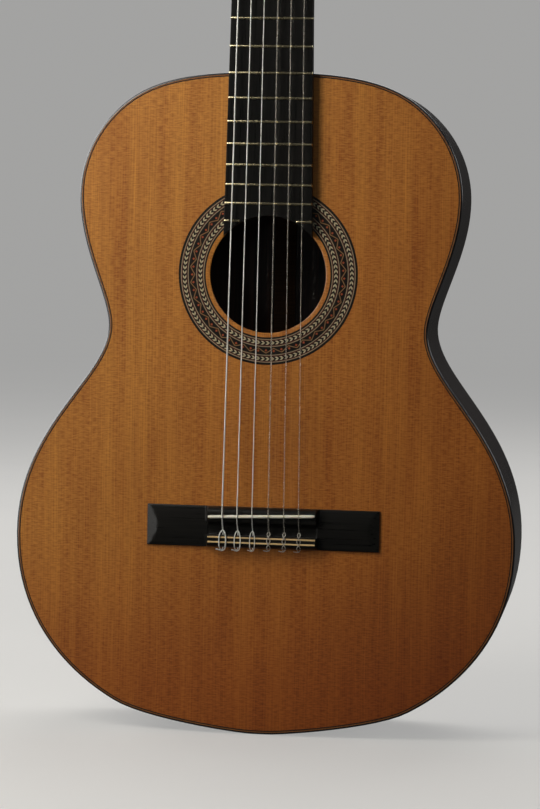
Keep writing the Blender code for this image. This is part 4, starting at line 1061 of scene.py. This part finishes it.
# ================================================================= fingerboard, frets and nut
def build_fingerboard():
    """A tapered board whose lower end follows the sound hole."""
    end_angle = math.asin(BOARD_END_HALF / HOLE_R)
    plan = [(-NUT_W / 2, NUT_Z - 0.02), (NUT_W / 2, NUT_Z - 0.02)]
    for k in range(49):
        a = end_angle * (1 - 2 * k / 48)
        plan.append((HOLE_R * math.sin(a), HOLE_Z + HOLE_R * math.cos(a)))
    board = add_piece("fingerboard_blank", slab(plan, FRONT - BOARD_T, FRONT - 0.02), EBONY,
                      "ebony", stands_for="fingerboard")
    soften(board, width=0.35, segments=3, angle=35)


def fret_z(number):
    return NUT_Z - SCALE * (1 - 2 ** (-number / 12))


# dressed end of a fret: distance from its tip, share of the full crown
FRET_END = ((0.0, 0.18), (0.25, 0.62), (0.6, 0.88), (1.1, 1.0))


def add_fret(name, z, x0, x1, node):
    """Crowned wire on a thin tang; its open ends are dressed to a slope and rounded."""
    face = FRONT - BOARD_T
    tang, steps = 0.28, 14
    stations = [(x0 + d, share) for d, share in FRET_END]
    stations += [(x1 - d, share) for d, share in reversed(FRET_END)]
    loops = []
    for x, share in stations:
        loop = [(x, face + 1.2, z + tang), (x, face + 0.02, z + tang)]
        half_width = 1.05 * (0.8 + 0.2 * share)
        for i in range(steps + 1):
            a = math.pi * i / steps
            rise = (FRET_TOP - BOARD_T) * share * math.sin(a) ** 0.9
            loop.append((x, face - rise, z + half_width * math.cos(a)))
        loop += [(x, face + 0.02, z - tang), (x, face + 1.2, z - tang)]
        loops.append(loop)
    add_piece(name, loft(loops), FRET_METAL, "nickel_silver", stands_for=node, angle=50)


def build_frets():
    for number in range(1, 20):
        z = fret_z(number)
        half = board_half(z) - 0.05
        if number < 19:
            add_fret(f"fret_wire_{number:02d}", z, -half, half, f"fret_{number:02d}")
        else:                                     # the sound hole splits the last fret
            add_fret("fret_wire_19_bass", z, -half, -20.6, "fret_19_bass")
            add_fret("fret_wire_19_treble", z, 20.6, half, "fret_19_treble")


def nut_top(x):
    height = NUT_H + 0.55
    for string in STRINGS:
        r, off = string.diameter / 2, x - string.nut_x
        if abs(off) <= r:
            height = NUT_H + STRING_LIFT + r - math.sqrt(max(0.0, r * r - off * off))
    edge = NUT_W / 2 - abs(x)
    if edge < 1.2:
        height -= 0.7 * (1 - edge / 1.2) ** 2
    return height


def build_nut():
    """The nut, with a round slot under each string."""
    half = NUT_W / 2
    stations = [-half, -half + 0.4, -half + 1.2]
    for string in STRINGS:
        r = string.diameter / 2
        stations += [string.nut_x + d for d in
                     (-r - 0.25, -r * 0.9, -r * 0.45, 0.0, r * 0.45, r * 0.9, r + 0.25)]
    stations += [half - 1.2, half - 0.4, half]
    loops = []
    for x in stations:
        h = nut_top(x)
        # distance above the nut's lower face, height above the soundboard
        section = ((0.0, 0.03), (NUT_T, 0.03), (NUT_T, h - 1.7), (NUT_T - 0.5, h - 0.95),
                   (NUT_T - 1.5, h - 0.35), (NUT_T - 2.8, h - 0.06), (1.2, h),
                   (0.35, h - 0.05), (0.0, h - 0.4))
        loops.append([(x, FRONT - height, NUT_Z + dz) for dz, height in section])
    add_piece("nut_slotted", loft(loops), BONE, "bone", stands_for="nut", angle=40)


# ================================================================= bridge and saddle
# middle of the bridge, tail edge to upper edge: z, height above the soundboard
BRIDGE_PROFILE = (
    (BRIDGE_Z0, 3.2), (138.85, 3.6), (139.2, 4.7), (139.9, 6.2), (140.7, 7.2), (141.3, 7.62),
    (141.8, 7.76), (142.1, TIE_H), (147.3, TIE_H), (147.75, 7.7), (148.0, 7.45),
    (148.12, 7.1), (148.18, 3.2), (148.9, 2.7), (154.0, 2.9), (155.6, 3.7), (156.8, 5.6),
    (157.6, 7.5), (158.1, 8.4), (158.7, 8.85), (160.6, 9.0), (164.0, 9.0), (165.8, 8.8),
    (167.2, 7.9), (168.2, 6.6), (168.8, 5.4), (169.05, 4.6), (BRIDGE_Z1, 3.8),
)
STEP_IN, STEP_OUT = 40.1, 42.6                    # x where the middle steps down to the wings
# x of the mesh columns on the treble half, after the centre
BRIDGE_COLUMNS = [
    10, 20, 30, 36, 39, 39.8, STEP_IN, 40.35, 40.6, 40.9, 41.2, 41.5, 41.8, 42.1, 42.35, STEP_OUT,
    43.5, 46, 52, 58, 64, 70, 74, 76, 78, *[79 + 0.25 * k for k in range(29)],
    86.2, 86.35, 86.45, 86.5,
]
WING_H, WING_DOME = 3.5, 1.6
FACET_X, FACET_SLOPE = 78.2, 0.24                 # a sloping facet cuts the end of each wing


def wing_height(z):
    edge = min(z - BRIDGE_Z0, BRIDGE_Z1 - z)
    middle, half = (BRIDGE_Z0 + BRIDGE_Z1) / 2, (BRIDGE_Z1 - BRIDGE_Z0) / 2
    dome = WING_DOME * ((z - middle) / half) ** 2
    return WING_H - dome - 0.4 * max(0.0, 1 - edge / 0.7) ** 2


def bridge_height(x, z):
    out = abs(x)
    middle, wing = interpolate(BRIDGE_PROFILE, z), wing_height(z)
    if out <= STEP_IN:
        height = middle
    elif out >= STEP_OUT:
        height = wing
    else:
        t = (out - STEP_IN) / (STEP_OUT - STEP_IN)
        if 148.05 < z < 157.9:                    # the trough rises quickly to the wing
            height = middle + (wing - middle) * min(1.0, t * 4.0)
        else:
            height = wing + (middle - wing) * (0.5 + 0.5 * math.cos(math.pi * t ** 0.8))
    height = min(height, WING_H - FACET_SLOPE * (out - FACET_X))
    if out > 86.2:
        height -= (out - 86.2) * 1.4
    return max(0.6, height)


def build_bridge():
    """One carved block: a grid for its top, a flat one below, and walls between."""
    rows = sorted([z for z, _ in BRIDGE_PROFILE] + [144.6, 151.4])
    columns = [-x for x in reversed(BRIDGE_COLUMNS)] + [0] + BRIDGE_COLUMNS
    nx, nz = len(columns), len(rows)
    verts = [(x, FRONT - bridge_height(x, z), z) for x in columns for z in rows]
    verts += [(x, FRONT - 0.03, z) for x in columns for z in rows]
    under = nx * nz
    faces = []
    for i in range(nx - 1):
        for j in range(nz - 1):
            a = i * nz + j
            b, c, d = a + 1, a + nz + 1, a + nz
            faces.append((a, b, c, d))
            faces.append((a + under, d + under, c + under, b + under))
    walls = [(i * nz + j, (i + 1) * nz + j) for i in range(nx - 1) for j in (0, nz - 1)]
    walls += [(i * nz + j, i * nz + j + 1) for j in range(nz - 1) for i in (0, nx - 1)]
    faces += [(a, b, b + under, a + under) for a, b in walls]
    add_piece("bridge_carved", (verts, faces), EBONY_BRIDGE, "ebony", stands_for="bridge",
              angle=38)


def build_tie_strips():
    """Two pale strips across the tie block."""
    # distance from the strip's middle, height above the tie block
    section = ((-0.6, -0.6), (-0.6, 0.04), (-0.45, 0.12), (0.45, 0.12), (0.6, 0.04), (0.6, -0.6))
    for label, middle in (("front", 146.75), ("rear", 143.1)):
        loops = [[(x, FRONT - TIE_H - rise, middle + dz) for dz, rise in section]
                 for x in (-40.0, 39.9)]
        add_piece("tie_block_strip_" + label, loft(loops), STRIP_TAN, "bone")


def build_saddle():
    """A thin slanted bar with a rounded top, lower and thinner at its ends."""
    x0, x1, foot, round_h = -39.7, 39.5, 6.0, 1.1
    loops = []
    for i in range(41):
        x = x0 + (x1 - x0) * i / 40
        edge = min(x - x0, x1 - x)
        top = SADDLE_H - 0.9 * max(0.0, 1 - edge / 2.2) ** 2
        half = SADDLE_T / 2 * (1 - 0.35 * max(0.0, 1 - edge / 1.0) ** 2)
        middle = SADDLE_MID + x * SADDLE_SLOPE
        loop = [(x, FRONT - foot, middle - half), (x, FRONT - (top - 1.2), middle - half)]
        for k in range(7):
            a = math.pi * (1 - k / 6)
            height = top - round_h + round_h * math.sin(a)
            loop.append((x, FRONT - height, middle + half * math.cos(a)))
        loop += [(x, FRONT - (top - 1.2), middle + half), (x, FRONT - foot, middle + half)]
        loops.append(loop)
    add_piece("saddle_shaped", loft(loops), BONE, "bone", stands_for="saddle", angle=50)


# ================================================================= headstock
def head_plan():
    """Outline of the headstock as (x, u)."""
    nut = NUT_W / 2
    half = [(nut, 0.0)]
    half += smooth_plan([(nut, 4.0), (nut + 0.6, 10.0), (nut + 3.2, 18.0),
                         (HEAD_HALF - 2.6, 26.5), (HEAD_HALF - 0.3, 33.0), (HEAD_HALF, 39.0)], 5)
    half.append((HEAD_HALF, 160.0))
    half += smooth_plan([(HEAD_HALF, 162.0), (HEAD_HALF - 1.4, 169.0), (HEAD_HALF - 6.5, 173.0),
                         (25.0, 174.6), (20.5, 178.6), (12.0, 184.8), (4.0, 187.6)], 5)
    return half + [(0.0, HEAD_LEN - 0.1)] + mirrored(half)


def string_slot(side, steps=16):
    """A long slot with round ends, through the whole head."""
    middle, r = side * (SLOT_IN + SLOT_OUT) / 2, (SLOT_OUT - SLOT_IN) / 2
    plan = []
    for centre, start in ((SLOT_HIGH - r, 0.0), (SLOT_LOW + r, math.pi)):
        for k in range(steps + 1):
            a = start + math.pi * k / steps
            plan.append((middle + r * math.cos(a), centre + r * math.sin(a)))
    return slab(plan, -5, HEAD_T + 5)


def string_ramp(side):
    """The sloping channel in the face that runs into the slot's lower end."""
    section = ((-3.0, 17.5), (-0.3, 19.5), (0.6, 22.5), (5.2, 36.0), (5.2, 44.0), (-3.0, 44.0))
    return loft([[(side * x, v, u) for v, u in section] for x in (9.5, 22.5)])


def throat():
    """Waste carved off the head's back, where it runs down into the round shaft."""
    # u, half width of the headstock
    widths = ((0.0, 26.0), (4.0, 26.0), (10.0, 26.6), (18.0, 29.2), (26.5, 33.4))
    loops = []
    for u in (-1.0, 0.0, 1.5, 3.0, 5.0, 7.0, 9.0, 11.0, 13.0, 15.0, 17.0, 18.5, 20.0):
        t = min(max(u / 18.5, 0.0), 1.0)
        t = t * t * (3 - 2 * t)
        half = interpolate(widths, max(u, 0.0)) + 0.4
        inner = []
        for k in range(49):
            a = math.pi * k / 48
            dx = 25.97 * math.copysign(abs(math.cos(a)) ** SHAFT_POWER, math.cos(a))
            dv = (HEAD_T - VENEER_T) * math.sin(a)
            grow = min(half / abs(dx) if abs(dx) > 1e-6 else 1e9,
                       17.9 / dv if dv > 1e-6 else 1e9)
            size = 1 + (grow - 1) * t
            inner.append((dx * size, VENEER_T + dv * size, u))
        x0, x1 = inner[0][0], inner[-1][0]
        loops.append([(x0, 2.2, u)] + inner + [(x1, 2.2, u), (-42.0, 2.2, u), (-42.0, 30.0, u),
                                               (42.0, 30.0, u), (42.0, 2.2, u)])
    return loft(loops)


def roller_bores(x0, x1, axis):
    return join(*[turned([(x0, BORE_R), (x1, BORE_R)], (0, ROLLER_V, u), axis, sides=32)
                  for u in ROLLER_U])


def build_headstock():
    plan = head_plan()
    slots = join(string_slot(-1), string_slot(1))
    ramps = join(string_ramp(-1), string_ramp(1))
    core = add_piece("headstock_core", slab(plan, VENEER_T, HEAD_T), MAHOGANY, "mahogany",
                     stands_for="headstock", place=HEAD)
    cut(core, slots, ramps, roller_bores(-45, 45, (1, 0, 0)), throat())
    soften(core, width=0.9, segments=3, angle=40)
    veneer = add_piece("headstock_face_veneer", slab(plan, 0.0, VENEER_T), ROSEWOOD_HEAD,
                       "rosewood", stands_for="headstock_veneer", place=HEAD)
    cut(veneer, slots, ramps)
    soften(veneer, width=0.5, segments=2, angle=40)


# ================================================================= tuning machines
def add_screw(name, at, axis, radius, rise, body="root", material=GOLD):
    """A domed screw head split by a straight slot, whose angle depends on the name."""
    at, axis = Vector(at), Vector(axis).normalized()
    dome = [(-0.7, radius * 0.55), (0.0, radius * 0.96), (rise * 0.25, radius),
            (rise * 0.6, radius * 0.86), (rise * 0.88, radius * 0.55), (rise, radius * 0.18)]
    obj = add_piece(name, turned(dome, at, axis), material, "brass", body=body, place=HEAD)
    up = Vector((0, 0, 1))
    side = axis.cross(up).normalized()
    a = math.radians(25 + 40 * (sum(ord(c) for c in name) % 4))
    along = side * math.cos(a) + up * math.sin(a)
    across = side * -math.sin(a) + up * math.cos(a)
    corners = ((-1, -1), (1, -1), (1, 1), (-1, 1))
    cut(obj, loft([[at + axis * height + along * (i * 2 * radius) + across * (j * radius * 0.14)
                    for i, j in corners] for height in (rise * 0.45, rise * 0.45 + 1.5)]))


def plate_outline():
    """Long plate with a lyre-like waist at each end; (v offset, u) points."""
    u0, u1 = ROLLER_U[0] - 17.0, ROLLER_U[-1] + 10.0
    waist = ((6.2, 6.6), (4.2, 5.4), (4.6, 2.6), (2.6, 0.4))    # half width, distance from end
    side = [(7.0, u0 + 9.0), (7.0, u1 - 9.0)] + [(half, u1 - d) for half, d in waist]
    foot = [(-half, u0 + d) for half, d in waist]
    return side + [(0.0, u1)] + mirrored(side) + foot + [(0.0, u0)] + mirrored(foot)


def add_worm_lug(name, sign, v0, v1, u):
    """A bearing lug with a round nose, bored for the worm's shaft."""
    loops = []
    for v, bevel in ((v0, 0.25), (v0 + 0.25, 0.0), (v1 - 0.25, 0.0), (v1, 0.25)):
        r = 2.8 - bevel
        loop = []
        for k in range(13):
            a = -math.pi / 2 + math.pi * k / 12
            loop.append((sign * (GEAR_X - 0.2 + r * math.cos(a)), v, u + r * math.sin(a)))
        for end in (3.4 - bevel, bevel - 3.4):
            loop.append((sign * (PLATE_X + 0.8), v, u + end))
        loops.append(loop)
    lug = add_piece(name, loft(loops), GOLD, "brass", place=HEAD)
    cut(lug, turned([(-6, 1.95), (6, 1.95)], (sign * GEAR_X, (v0 + v1) / 2, u), (0, 1, 0),
                    sides=24))


def build_plate(label, sign):
    """Side plate with its worm lugs and screws."""
    loops = [[(sign * x, ROLLER_V + dv, u) for dv, u in plate_outline()]
             for x in (PLATE_X, PLATE_X + PLATE_T)]
    plate = add_piece("tuner_plate_pressed_" + label, loft(loops), GOLD, "brass",
                      stands_for="tuner_plate_" + label, place=HEAD)
    cut(plate, roller_bores(sign * 30, sign * 50, (1, 0, 0)))
    soften(plate, width=0.25, segments=2, angle=40)
    spans = [(u - WORM_DROP, low, high) for u in ROLLER_U
             for low, high in ((-6.3, -4.6), (4.6, 6.3))]
    for k, (u, low, high) in enumerate(spans, 1):
        add_worm_lug(f"worm_lug_{label}_{k}", sign, ROLLER_V + low, ROLLER_V + high, u)
    low, middle, high = ROLLER_U
    screws = [(0.0, low - 14.2)]
    screws += [(dv, (a + b) / 2 + 3) for a, b in ((low, middle), (middle, high))
               for dv in (4.6, -4.6)]
    screws.append((0.0, high + 7.4))
    for k, (dv, u) in enumerate(screws, 1):
        add_screw(f"plate_screw_{label}_{k}", (sign * (PLATE_X + PLATE_T), ROLLER_V + dv, u),
                  (sign, 0, 0), radius=1.5, rise=0.55)


def gear_shell(u, sign):
    """Worm wheel with leaning teeth."""
    lean = PITCH / (FULL_TURN * WORM_R) / GEAR_R
    loops = []
    for width, bevel in ((-1.0, 0.1), (-0.9, 0.0), (0.9, 0.0), (1.0, 0.1)):
        # radius, half thickness of the tooth there
        flank = ((4.2, 0.66), (4.55, 0.53), (5.35 - bevel, 0.32), (5.5 - bevel, 0.22))
        tooth = [(r, -half) for r, half in flank] + list(reversed(flank))
        offset = sign * width * GEAR_W / 2
        loop = []
        for k in range(TEETH):
            centre = -math.pi / 2 + FULL_TURN * k / TEETH
            for r, half in tooth:
                a = centre + half / r + lean * offset
                loop.append((sign * GEAR_X + offset, ROLLER_V + r * math.cos(a),
                             u + r * math.sin(a)))
        loops.append(loop)
    return loft(loops)


def worm_shell(x, u, sides=28):
    """The thread as one spiral ridge, its ends tapering out."""
    turns = 2.75
    steps = int(turns * sides)
    loops = []
    for i in range(steps + 1):
        a = FULL_TURN * (i / sides - turns / 2 - 0.5)
        middle = PITCH / 2 + PITCH * a / FULL_TURN
        fade = min(1.0, i / (sides * 0.35), (steps - i) / (sides * 0.35))
        top = 1.75 + 1.22 * max(0.03, fade) ** 0.6
        ridge = ((1.5, 0.66), (top - 0.12, 0.3), (top, 0.2),
                 (top, -0.2), (top - 0.12, -0.3), (1.5, -0.66))
        loops.append([(x - r * math.sin(a), ROLLER_V - (middle + half), u + r * math.cos(a))
                      for r, half in ridge])
    return loft(loops)


# v offset from the roller axis, half width along u, half width along x
BUTTON = (
    (23.4, 2.9, 2.5), (23.9, 3.3, 2.9), (25.0, 4.1, 3.3), (26.4, 6.0, 3.8), (28.2, 7.9, 4.25),
    (30.4, 8.85, 4.5), (32.6, 8.75, 4.4), (34.4, 7.7, 4.0), (35.8, 5.6, 3.2), (36.6, 3.2, 2.1),
    (36.88, 1.2, 0.9),
)
# turned profiles: distance along the axis, radius
WORM_SHAFT = (
    (-7.4, 1.2), (-7.2, 1.6), (-4.0, 1.7), (4.0, 1.7), (7.0, 1.7), (7.1, 2.35), (8.3, 2.35),
    (8.4, 1.9), (12.6, 1.9), (13.0, 2.6), (13.8, 2.6), (14.1, 2.2), (15.2, 2.0),
)
SLEEVE = (
    (SLOT_IN + 0.75, 3.0), (SLOT_IN + 0.8, 4.6), (SLOT_IN + 1.2, ROLLER_R),
    (SLOT_IN + 2.2, ROLLER_R), (SLOT_IN + 2.8, 4.75), (SLOT_OUT - 2.8, 4.75),
    (SLOT_OUT - 2.2, ROLLER_R), (SLOT_OUT - 1.2, ROLLER_R), (SLOT_OUT - 0.8, 4.6),
    (SLOT_OUT - 0.75, 3.0),
)
POST = (
    (3.2, 1.6), (3.6, 2.9), (SLOT_IN + 0.9, 2.9), (SLOT_OUT - 0.9, 2.9), (GEAR_X - 1.6, 2.9),
    (GEAR_X - 1.3, 3.2), (GEAR_X + 1.3, 3.2),
)


def button_shell(x, u):
    def squarish(c):
        return math.copysign(abs(c) ** 0.86, c)

    angles = [FULL_TURN * k / 36 for k in range(36)]
    return loft([[(x + half_x * squarish(math.cos(a)), v, u + half_u * squarish(math.sin(a)))
                  for a in angles] for v, half_u, half_x in BUTTON])


def build_machine(number, sign, u):
    """Worm and button on the peg; sleeve, post, gear and screw on the roller."""
    x, worm_u = sign * GEAR_X, u - WORM_DROP
    peg, roller = "peg_" + number, "roller_" + number
    shaft = turned(WORM_SHAFT, (x, ROLLER_V, worm_u), (0, 1, 0))
    add_piece("worm_shaft_" + number, join(shaft, worm_shell(x, worm_u)), STEEL, "brass",
              body=peg, angle=40, place=HEAD)
    add_piece("button_" + number, button_shell(x, worm_u), PEARL, "pearloid", stands_for=peg,
              body=peg, angle=60, place=HEAD)
    centre, axis = (0, ROLLER_V, u), (sign, 0, 0)
    add_piece("roller_sleeve_" + number, turned(SLEEVE, centre, axis, sides=40), ROLLER, "bone",
              body=roller, angle=50, place=HEAD)
    add_piece("roller_post_" + number, turned(POST, centre, axis), GOLD, "brass", body=roller,
              angle=40, place=HEAD)
    add_piece("gear_" + number, gear_shell(u, sign), GEAR_METAL, "brass", stands_for=roller,
              body=roller, angle=30, place=HEAD)
    add_screw("gear_screw_" + number, (sign * (GEAR_X + GEAR_W / 2), ROLLER_V, u), axis,
              radius=2.3, rise=1.3, body=roller, material=STEEL)


# ================================================================= strings
def front_points(x, table):
    """Points from (x offset, height above the soundboard, z) rows."""
    return [Vector((x + dx, FRONT - height, z)) for dx, height, z in table]


def string_path(string):
    """From the tie hole over the saddle and nut, then wound on the roller."""
    r = string.diameter / 2
    saddle_z = SADDLE_MID + string.saddle_x * SADDLE_SLOPE
    top = SADDLE_H + r
    path = front_points(string.saddle_x, ((0, TIE_HOLE_H, 139.4), (0, TIE_HOLE_H, 148.2)))
    path += catmull(front_points(string.saddle_x, (
        (0, TIE_HOLE_H, 148.8), (0, 5.5, 150.8), (0, 8.7, 156.0), (0, top - 0.9, saddle_z - 1.9),
        (0, top, saddle_z - 0.5), (0, top + 0.02, saddle_z + 0.6))), 5)
    over_nut = front_points(string.nut_x, (
        (0, NUT_H + STRING_LIFT + r, NUT_Z + 0.3), (0, NUT_H + 0.15 + r, NUT_Z + 2.6),
        (0, NUT_H - 0.6 + r, NUT_Z + NUT_T - 0.2)))
    start = path[-1]
    path += [start.lerp(over_nut[0], k / 24) for k in range(1, 25)] + over_nut[1:]

    turns, per_turn = 2.4, 28
    coil_r = ROLLER_R + r
    side = 1 if string.lane_x > 0 else -1
    # the outermost strings wind inwards, the others outwards
    step = (string.diameter + 0.12) * (-side if abs(string.lane_x) > 16 else side)
    coil = []
    for i in range(int(turns * per_turn) + 1):
        a = FULL_TURN * i / per_turn - 0.12
        coil.append(HEAD @ Vector((string.lane_x + step * i / per_turn,
                                   ROLLER_V - coil_r * math.cos(a),
                                   ROLLER_U[string.post] + coil_r * math.sin(a))))
    start = path[-1]
    return path + [start.lerp(coil[0], k / 8) for k in range(1, 8)] + coil


def add_bass_knot(string, top, radius):
    """A wide loop over the tie block with its tail led to the bass side."""
    half = BASS_KNOT_HALF[string.number]
    path = catmull(front_points(string.saddle_x, (
        (0.1, TIE_HOLE_H, 140.0), (-0.1, TIE_HOLE_H + 0.1, 138.2), (-half * 0.55, 5.6, 137.3),
        (-half * 0.9, top - 0.3, 139.6), (-half, top, 142.6), (-half, top, 146.0),
        (-half * 0.84, top - 0.05, 148.8), (-half * 0.5, top - 0.9, 150.9),
        (0.05, top - 1.9, 151.7), (half * 0.5, top - 0.9, 150.9),
        (half * 0.84, top - 0.05, 148.8), (half, top, 146.0), (half, top, 142.6),
        (half * 0.86, top - 0.3, 139.4), (half * 0.45, 6.3, 137.5), (-half * 0.3, 5.5, 136.7),
        (-half, 5.6, 137.0), (-half * 1.5, 6.2, 137.5), (-half * 2.05, 6.6, 137.7))), 7)
    shell, uv = tube(path, radius, 10)
    add_piece("knot_" + string.number, shell, WOUND, "silver_wound", uv=uv, angle=60)


def add_treble_knot(string, top, radius):
    """Two strands twisted round each other over the tie block, and a short tail."""
    tubes = []
    for hand in (-1, 1):
        rows = []
        for i in range(65):
            share = i / 64
            z = 151.7 - 14.3 * share
            twist = FULL_TURN * 1.33 * (share - 0.26)
            height = top + (string.diameter / 2 * 0.85) * hand * math.cos(twist)
            # the strands drop away past both edges of the block
            height -= max(0.0, z - 147.9) * 0.62 + max(0.0, 141.6 - z) * 0.62
            spread = 1.25 * min(1.0, 0.35 + 5.0 * share)
            rows.append((hand * spread * math.sin(twist), height, z))
        tubes.append(tube(front_points(string.saddle_x, rows), radius * 0.8, 8))
    tail = catmull(front_points(string.saddle_x, (
        (0.6, 6.2, 138.6), (-0.6, 5.6, 137.3), (-2.4, 5.8, 137.4), (-4.0, 6.4, 137.8))), 5)
    tubes.append(tube(tail, radius * 0.75, 8))
    add_piece("knot_" + string.number, join(*[shell for shell, _ in tubes]), NYLON_KNOT,
              "clear_nylon", uv=[corner for _, uv in tubes for corner in uv], angle=60)


def build_string(string):
    r = string.diameter / 2
    bass = string.number in BASS_KNOT_HALF
    shell, uv = tube(string_path(string), r, 12 if bass else 10)
    add_piece("line_" + string.node, shell, WOUND if bass else NYLON,
              "silver_wound" if bass else "clear_nylon", stands_for=string.node, uv=uv, angle=60)
    add_knot = add_bass_knot if bass else add_treble_knot
    add_knot(string, TIE_H + r + 0.14, r * 0.92)


# ================================================================= inside pieces
def finish_inside():
    """Inside pieces keep their own solids and get wood finishes."""
    for name, material in (("tail_block", BLOCK), ("top_lining", SPRUCE),
                           ("back_lining", SPRUCE), ("soundboard_bracing", SPRUCE),
                           # back bracing: painted dark for the shade inside the body
                           ("back_bracing", SHADED_CEDAR_BARS)):
        obj = NODES[name]
        if obj.material_slots:
            for material_slot in obj.material_slots:
                material_slot.material = material
        else:
            obj.data.materials.append(material)


# ================================================================= stage, light and camera
def floor_material():
    """Pale and glowing to the camera, dark to every other ray."""
    s = Shader("pale_floor")
    mottled = s.noise(s.scaled(0.004, 0.004, 0.004), detail=3.0)
    seen = s.node("ShaderNodeLightPath", {}, output="Is Camera Ray")
    pale = s.mix(mottled, (166, 164, 160), (160, 158, 154))
    return s.finish(s.mix(seen, (46, 46, 45), pale), 0.8, specular=0.1,
                    Emission_Color=(0.6, 0.597, 0.588, 1.0),
                    Emission_Strength=seen * 0.55 + 0.03)


def build_stage():
    """A round pale floor that turns up into a wall on every side."""
    floor_z, flat_r, curve_r, wall_top, sides = -0.4, 8000.0, 2200.0, 8000.0, 128
    profile = [(r, floor_z) for r in (0.02, 900.0, 2400.0, 5000.0, flat_r)]
    for k in range(1, 17):
        a = math.pi / 2 * k / 16
        profile.append((flat_r + curve_r * math.sin(a), floor_z + curve_r * (1 - math.cos(a))))
    profile.append((flat_r + curve_r, wall_top))
    angles = [FULL_TURN * k / sides for k in range(sides)]
    loops = [[(r * MM * math.cos(a), r * MM * math.sin(a), z * MM) for a in angles]
             for r, z in profile]
    verts, faces = skin(loops, [(i, i + 1) for i in range(len(loops) - 1)])
    material = floor_material()
    mesh = bpy.data.meshes.new("studio_floor")
    mesh.from_pydata(verts, [], faces)
    mesh.materials.append(material)
    mesh.shade_smooth()
    obj = bpy.data.objects.new("studio_floor", mesh)
    obj.visible_diffuse = False
    bpy.context.scene.collection.objects.link(obj)


def add_light(name, place, target, size, power, color=(1, 1, 1), height=None):
    """Area light in metres and watts; a height makes it a rectangle."""
    data = bpy.data.lights.new(name, "AREA")
    data.energy = power
    data.size = size
    data.color = color
    if height:
        data.shape = "RECTANGLE"
        data.size_y = height
    obj = bpy.data.objects.new(name, data)
    obj.location = place
    aim = Vector(target) - Vector(place)
    obj.rotation_euler = aim.to_track_quat("-Z", "Y").to_euler()
    obj.visible_camera = False
    bpy.context.scene.collection.objects.link(obj)


def build_lights():
    add_light("key", place=(-0.47, -0.49, 0.74), target=(0.0, -0.05, 0.36), size=0.42,
              power=4.6, color=(1.0, 0.97, 0.91), height=0.55)
    add_light("key_low", place=(-0.92, -0.92, 0.14), target=(0.0, -0.05, 0.25), size=0.3,
              power=4.4, color=(1.0, 0.97, 0.92), height=0.7)
    add_light("front_fill", place=(1.1, -3.0, 1.5), target=(0.0, 0.0, 0.3), size=1.6,
              power=3.6, color=(0.94, 0.97, 1.0))
    add_light("rear_top", place=(0.3, 1.7, 2.3), target=(0.0, 0.3, 0.2), size=2.2, power=36.0)
    add_light("rear_left", place=(-1.6, 1.3, 0.9), target=(0.0, 0.0, 0.4), size=1.0, power=10.0)
    add_light("rear_right", place=(1.8, 0.9, 0.9), target=(0.0, 0.0, 0.4), size=0.9, power=7.0)
    add_light("left_strip", place=(-1.45, 0.42, 0.85), target=(0.0, 0.0, 0.5), size=0.62,
              power=5.0, color=(1.0, 0.98, 0.96), height=0.9)


def build_world():
    """A dim room that looks mid grey to the camera."""
    world = bpy.data.worlds.new("soft_room")
    world.use_nodes = True
    tree = world.node_tree
    background = tree.nodes["Background"]
    light_path = tree.nodes.new("ShaderNodeLightPath")
    pick = tree.nodes.new("ShaderNodeMix")
    pick.data_type = "RGBA"
    tree.links.new(light_path.outputs["Is Camera Ray"], pick.inputs[0])
    pick.inputs[6].default_value = (0.045, 0.046, 0.047, 1.0)    # light on the guitar
    pick.inputs[7].default_value = (0.34, 0.34, 0.335, 1.0)      # seen by the camera
    tree.links.new(pick.outputs[2], background.inputs[0])
    background.inputs[1].default_value = 1.0
    bpy.context.scene.world = world
    bpy.context.scene.view_settings.view_transform = "Standard"


def build_camera():
    """A long lens from the front, slightly to the treble side and looking slightly down."""
    azimuth, elevation, roll = [math.radians(a) for a in (8.5924, 3.1902, 1.1281)]
    forward = Vector((-math.sin(azimuth) * math.cos(elevation),
                      math.cos(azimuth) * math.cos(elevation), -math.sin(elevation)))
    level = Vector((math.cos(azimuth), math.sin(azimuth), 0.0))
    upright = level.cross(forward)
    right = level * math.cos(roll) + upright * math.sin(roll)
    up = upright * math.cos(roll) - level * math.sin(roll)
    data = bpy.data.cameras.new("photo_view")
    data.sensor_fit = "AUTO"
    data.sensor_width = 36.0
    data.lens = 124.3197033
    data.shift_x = 0.0396909765
    data.shift_y = -0.029245983
    data.clip_end = 50.0
    camera = bpy.data.objects.new("photo_view", data)
    camera.matrix_world = Matrix((
        (right.x, up.x, -forward.x, 0.28656),
        (right.y, up.y, -forward.y, -2.08268),
        (right.z, up.z, -forward.z, 0.37671),
        (0, 0, 0, 1),
    ))
    bpy.context.scene.collection.objects.link(camera)
    bpy.context.scene.camera = camera


# ================================================================= build
build_soundboard()
build_rosette()
build_edge("top", front_face, inward=1)
build_edge("back", back_face, inward=-1)
build_side("treble", 1)
build_side("bass", -1)
build_end_graft()
build_back_plate()
build_back_strip("centre", -1.1, 1.1, lift=0.03, material=PURFLING_TAN)
build_back_strip("line_bass", -1.9, -1.1, lift=0.02, material=STRIP_TAN)
build_back_strip("line_treble", 1.1, 1.9, lift=0.02, material=STRIP_TAN)
build_neck()
build_heel_cap()
build_fingerboard()
build_frets()
build_nut()
build_bridge()
build_tie_strips()
build_saddle()
build_headstock()
build_plate("treble", 1)
build_plate("bass", -1)
for machine_side, numbers in ((-1, "654"), (1, "123")):
    for roller_u, string_number in zip(ROLLER_U, numbers):
        build_machine(string_number, machine_side, roller_u)
for one_string in STRINGS:
    build_string(one_string)
finish_inside()
build_stage()
build_lights()
build_world()
build_camera()
